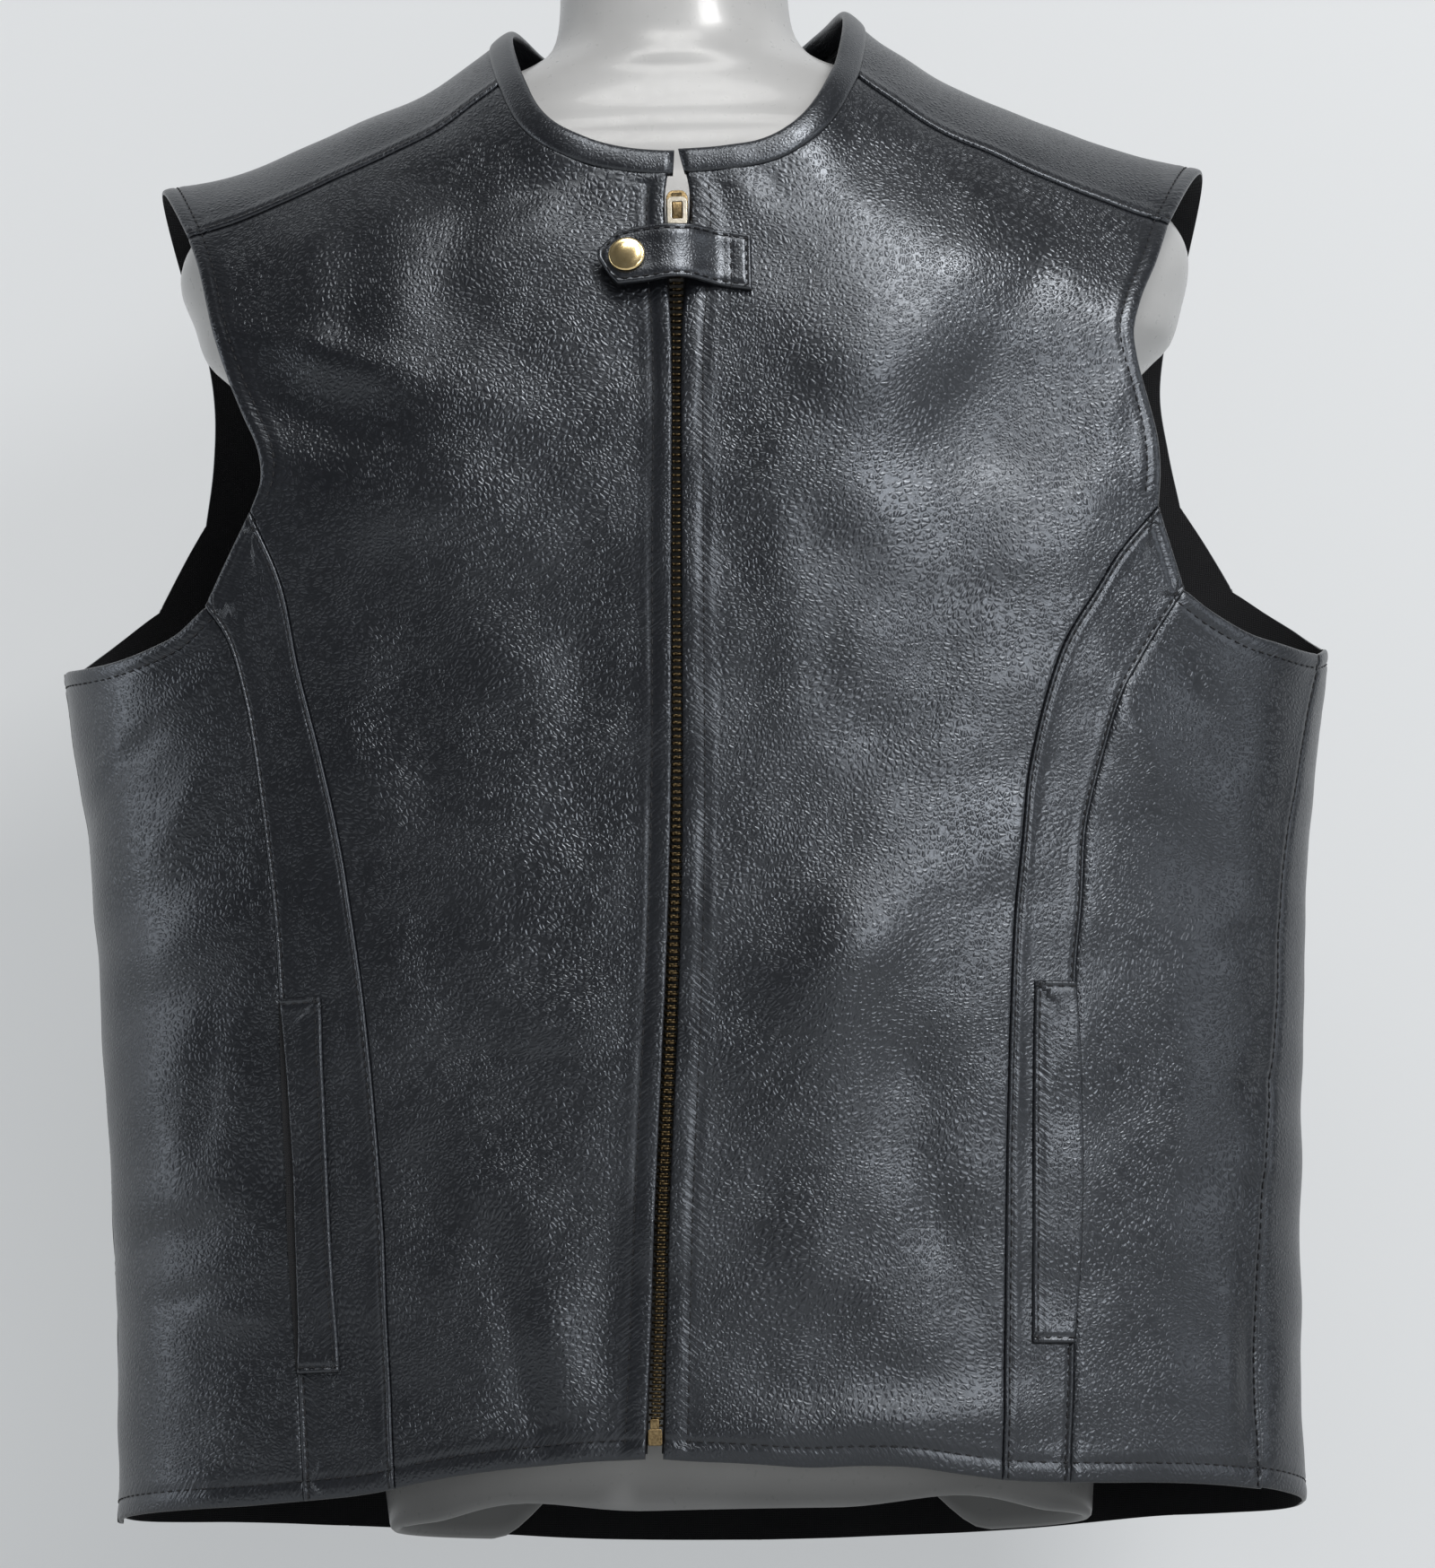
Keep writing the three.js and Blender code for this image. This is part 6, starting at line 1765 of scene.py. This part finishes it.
# %% Pull and box
PULL_HINGE = 546.2
PULL_LENGTH = 25.0
PULL_OFF = 2.5
BOX_MIDDLE = 26.0
BOX_BODY = [(-2.6, -3.5), (2.6, -3.5), (2.6, 2.4), (-2.6, 2.4)]
BOX_PIN = [(-1.7, 2.2), (1.5, 2.2), (1.5, 6.6), (-1.7, 6.6)]
hang, foot = (zip_line(np.array([z]), PULL_OFF)[0][0] for z in (PULL_HINGE, PULL_HINGE - PULL_LENGTH))
pull_lean = math.atan2(hang[1] - foot[1], hang[2] - foot[2])
hanging = zip_holder(PULL_HINGE, PULL_OFF, pull_lean)
pull_outline = rounded([
    (-4.0, -0.3), (-4.0, -10.8), (-2.6, -13.6), (-2.5, -23.0), (-1.3, -24.8), (1.3, -24.8),
    (2.5, -23.0), (2.6, -13.6), (4.0, -10.8), (4.0, -0.3), (2.8, 0.9), (-2.8, 0.9),
], 1.0)
window = rounded([(-2.5, -0.9), (2.5, -0.9), (2.5, -9.4), (-2.5, -9.4)], 0.8)[::-1]
pull_plate = plate(
    "pull_plate", [pull_outline, window], 1.2, 0.3, RUBBED_NICKEL, moved_out(hanging, 0.75))
joined_objects("zip_pull_plate", [pull_plate], "pull", "antique_brass", "zip_pull")
box_seat = zip_holder(BOX_MIDDLE, 0)
box_parts = [
    plate("box_body", [rounded(BOX_BODY, 0.5)], 3.2, 0.35, ANTIQUE_BRASS, moved_out(box_seat, -1.5)),
    plate("box_pin", [rounded(BOX_PIN, 0.4)], 2.2, 0.3, ANTIQUE_BRASS, moved_out(box_seat, -1.6)),
]
joined_objects("zip_box_brass", box_parts, "vest", "antique_brass", "zip_retainer_box")
for name in ("zip_tape_left", "zip_tape_right"):
    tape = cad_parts[name]
    tape.data.materials.clear()
    tape.data.materials.append(TAPE)
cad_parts["snap_stud"].data.materials.clear()
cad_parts["snap_stud"].data.materials.append(ANTIQUE_BRASS)
print("pull and box ready")

# %% [markdown]
# ## The form
# The form is one moulded shell: level rings joined into a smooth skin, closer together over the
# shoulders. Its wall shows only at the rim under the hem, so the inside is a plain recess.

# %% Form tables
# (z, sideways centre, half width, depth in front, depth behind)
FORM_SECTIONS = [
    (0, 12, 147, 62, 52), (60, 11, 152, 72, 70), (100, 10, 150, 78, 76), (160, 8, 142, 78, 74),
    (220, 6, 137, 78, 70), (290, 5, 143, 84, 74), (350, 4, 154, 91, 80), (410, 2, 166, 96, 84),
    (460, 1, 178, 96, 85), (495, 0, 194, 93, 83), (503, -1, 202, 92, 82), (511, -1, 210, 90, 81),
    (526, -1, 215, 87, 80), (541, -2, 219.5, 84, 78), (552, -2, 219, 81, 76), (562, -2, 214, 78, 74),
    (571, -1, 205, 75, 72), (580, 0, 195, 71, 70), (588, 0, 184, 68, 68), (596, 0, 173, 66, 66),
    (604, 0, 160.5, 63, 64), (611, 0, 143, 61, 62), (617, 0, 129, 59, 61), (623, -1, 107, 57, 60),
    (629, -3, 82, 56, 59), (635, -3.7, 67.5, 54, 57), (642, -3.6, 58, 52, 54), (652, -4.2, 52.5, 51, 52),
    (668, -4.5, 50.2, 50, 50.5), (690, -4.5, 50, 50, 50.5), (698, -4.5, 47, 47, 47.5),
    (702, -4.5, 40, 40, 40.5),
]
FORM_SIDES = 120
FORM_WALL = 5
FORM_RECESS = 60
FORM_POWER = 2.2
# The rim rises in two low arches in front and in one step behind, at these degrees round
FORM_ARCH = 5
FORM_ARCHES = ((28, 77), (103, 152))
FORM_BACK_LIFT = 34
FORM_BACK_STEPS = ((225, 250), (290, 315))
# (height above the rim, inset) of the rings that round the rim
FORM_RIM_ROWS = [(6, FORM_WALL), (1.2, FORM_WALL - 0.4), (0, FORM_WALL - 1.6), (0, 1.6), (1.2, 0.35)]
FORM_LOW_SHARES = (0.06, 0.15, 0.3, 0.5, 0.75)
# (from, to, step) of the level rings, and the rings that round the top
FORM_STEPS = [(FORM_RECESS, 490, 10), (490, 640, 3), (640, 698, 5)]
FORM_TOP = [698, 700.4, 701.6, 702]
# Where the form carries the yokes: from and to in height, and the distance from the centre
UNDER_YOKES = (520, 650, 72)
SHOULDER_CLEARANCE = 0.8
CLOTH_CLEARANCE = 1.2
FORM_ANGLES = np.linspace(0, 2 * math.pi, FORM_SIDES, endpoint=False)


def ease(low, high, value):
    """Smooth step from 0 to 1."""
    t = np.clip((value - low) / (high - low), 0, 1)
    return t * t * (3 - 2 * t)


def form_rim():
    """Height of the rim round the form."""
    degrees = np.degrees(FORM_ANGLES)
    arch = 0 * degrees
    for start, end in FORM_ARCHES:
        inside = (degrees > start) & (degrees < end)
        arch += np.where(inside, np.sin(math.pi * (degrees - start) / (end - start)) ** 2, 0)
    up, down = FORM_BACK_STEPS
    return FORM_ARCH * arch + FORM_BACK_LIFT * (ease(*up, degrees) - ease(*down, degrees))


def form_ring(z, inset):
    """One level ring of the form, held under the yokes where it carries them."""
    z = z + 0 * FORM_ANGLES
    front = np.sin(FORM_ANGLES) >= 0
    half = smooth(FORM_SECTIONS, z, 2) - inset
    depth = np.where(front, smooth(FORM_SECTIONS, z, 3), smooth(FORM_SECTIONS, z, 4)) - inset
    x = smooth(FORM_SECTIONS, z, 1) + half * signed_power(np.cos(FORM_ANGLES), 2 / FORM_POWER)
    y = depth * np.abs(np.sin(FORM_ANGLES)) ** (2 / FORM_POWER)
    headroom = smooth(SHOULDER_LINE, np.abs(x)) - z - LEATHER - SHOULDER_CLEARANCE
    held = np.clip(headroom / SHOULDER_ROLL, 0, 1)
    share = np.sqrt(1 - (1 - held) ** 2)
    cloth = np.where(front, smooth(SECTIONS, z, 2), smooth(SECTIONS, z, 3))
    reach = np.minimum(np.abs(x) / smooth(SECTIONS, z), 1)
    section = (1 - reach ** SECTION_POWER) ** (1 / SECTION_POWER)
    limit = np.maximum(cloth * section * share - LEATHER - CLOTH_CLEARANCE, 0.5)
    low, high, inner = UNDER_YOKES
    under = (z > low) & (z < high) & (np.abs(x) > inner)
    y = np.where(under, np.minimum(y, limit), y)
    return np.stack([x, np.where(front, -y, y), z], axis=1)


# %% Form
rim = form_rim()
levels = [form_ring(FORM_RECESS, FORM_WALL)]
levels += [form_ring(rim + lift, inset) for lift, inset in FORM_RIM_ROWS]
levels += [form_ring(rim + (FORM_RECESS - rim) * share, 0) for share in FORM_LOW_SHARES]
heights = np.concatenate([np.arange(*row) for row in FORM_STEPS] + [FORM_TOP])
levels += [form_ring(z, 0) for z in heights]
rings = np.stack(levels)
faces = ring_faces(len(rings), FORM_SIDES)
top = (len(rings) - 1) * FORM_SIDES
faces += [tuple(range(FORM_SIDES)), tuple(top + k for k in range(FORM_SIDES))]
form = new_object("form_moulding", in_frame(rings.reshape(-1, 3)), faces, [FORM_PLASTIC])
facing_out("form_moulding")
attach(form, "vest")
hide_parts("torso_form")
print("form:", len(faces), "faces")

# %% [markdown]

# %% [markdown]
# ## Stage, light and camera
# The floor and wall are not part of the object. They are solid from the front and clear from
# behind, because the camera stands below the floor's level, as the photographer held it low.
# Black leather shows its shape only in its highlights, so the lights are large and soft: two
# high in front, one lower in front, one at each side, and a pale room all round.


# %% Stage
def stage_material(name, colour, glow):
    """Matt, faintly lit surface that is clear from behind."""
    made, tree, shader = new_material(name)
    shader.inputs["Base Color"].default_value = (*colour, 1)
    shader.inputs["Roughness"].default_value = 0.9
    shader.inputs["Emission Color"].default_value = (0.95, 0.98, 1.0, 1)
    shader.inputs["Emission Strength"].default_value = glow
    clear = node(tree, "ShaderNodeBsdfTransparent", 900, -300)
    facing = node(tree, "ShaderNodeNewGeometry", 900, 300)
    mixed = node(tree, "ShaderNodeMixShader", 1200, 0)
    tree.links.new(facing.outputs["Backfacing"], mixed.inputs[0])
    tree.links.new(shader.outputs[0], mixed.inputs[1])
    tree.links.new(clear.outputs[0], mixed.inputs[2])
    tree.links.new(mixed.outputs[0], tree.nodes["Material Output"].inputs["Surface"])
    return made


def stage_plane(name, corners, material):
    """Flat stage piece."""
    mesh = bpy.data.meshes.new(name)
    mesh.from_pydata(corners, [], [(0, 1, 2, 3)])
    mesh.materials.append(material)
    found = bpy.data.objects.new(name, mesh)
    bpy.context.scene.collection.objects.link(found)
    return found


WALL_Y = 0.3
stage_plane("floor", [(-3, -3, 0), (3, -3, 0), (3, 3, 0), (-3, 3, 0)],
            stage_material("pale_floor", (0.5, 0.5, 0.49), 0.2))
stage_plane("wall", [(-4, WALL_Y, -2), (4, WALL_Y, -2), (4, WALL_Y, 4), (-4, WALL_Y, 4)],
            stage_material("pale_wall", (0.35, 0.355, 0.36), 0.4))


def area_light(name, place, target, size, power, colour):
    """Rectangular light that looks at a point."""
    data = bpy.data.lights.new(name, "AREA")
    data.shape = "RECTANGLE"
    data.size, data.size_y = size
    data.energy = power
    data.color = colour
    found = bpy.data.objects.new(name, data)
    found.location = place
    found.rotation_euler = (Vector(target) - Vector(place)).to_track_quat("-Z", "Y").to_euler()
    bpy.context.scene.collection.objects.link(found)
    return found


CHEST = (0, -0.05, 0.5)
WAIST = (0.05, -0.08, 0.28)
ROOM_LIGHT = 0.11
area_light("main_panel", (0.75, -1.6, 1.85), CHEST, (0.6, 0.5), 26, (1.0, 0.99, 0.98))
area_light("ceiling_panel", (-0.05, -1.15, 2.05), CHEST, (0.7, 0.35), 8, (1.0, 0.99, 0.97))
area_light("front_lamp", (1.0, -2.4, 0.95), WAIST, (0.6, 0.6), 15, (0.97, 0.98, 1.0))
area_light("left_fill", (-1.6, -0.22, 0.62), WAIST, (0.25, 1.0), 3.2, (0.93, 0.96, 1.0))
area_light("right_fill", (1.9, -0.9, 0.8), WAIST, (0.6, 1.2), 5, (0.93, 0.96, 1.0))
world = bpy.data.worlds.new("pale_room")
world.use_nodes = True
world.node_tree.nodes["Background"].inputs["Color"].default_value = (0.93, 0.96, 1.0, 1)
world.node_tree.nodes["Background"].inputs["Strength"].default_value = ROOM_LIGHT
bpy.context.scene.world = world

# %% Camera
CAMERA_PLACE = Vector((0.00806, -2.83943, -0.31383))
CAMERA_PITCH = math.radians(12.5)
CAMERA_ROLL = math.radians(1.1)
LENS = 156.16
SENSOR = 36.0
forward = Vector((0, math.cos(CAMERA_PITCH), math.sin(CAMERA_PITCH)))
level_up = Vector((0, -math.sin(CAMERA_PITCH), math.cos(CAMERA_PITCH)))
right_way = Vector((math.cos(CAMERA_ROLL), 0, 0)) - level_up * math.sin(CAMERA_ROLL)
up_way = Vector((math.sin(CAMERA_ROLL), 0, 0)) + level_up * math.cos(CAMERA_ROLL)
camera_data = bpy.data.cameras.new("camera")
camera_data.lens = LENS
camera_data.sensor_width = SENSOR
camera_data.clip_end = 60
camera = bpy.data.objects.new("camera", camera_data)
turning = Matrix((right_way, up_way, -forward)).transposed()
camera.matrix_world = Matrix.Translation(CAMERA_PLACE) @ turning.to_4x4()
bpy.context.scene.collection.objects.link(camera)
bpy.context.scene.camera = camera
bpy.context.scene.view_settings.view_transform = "Standard"
bpy.context.scene.view_settings.exposure = 0.0
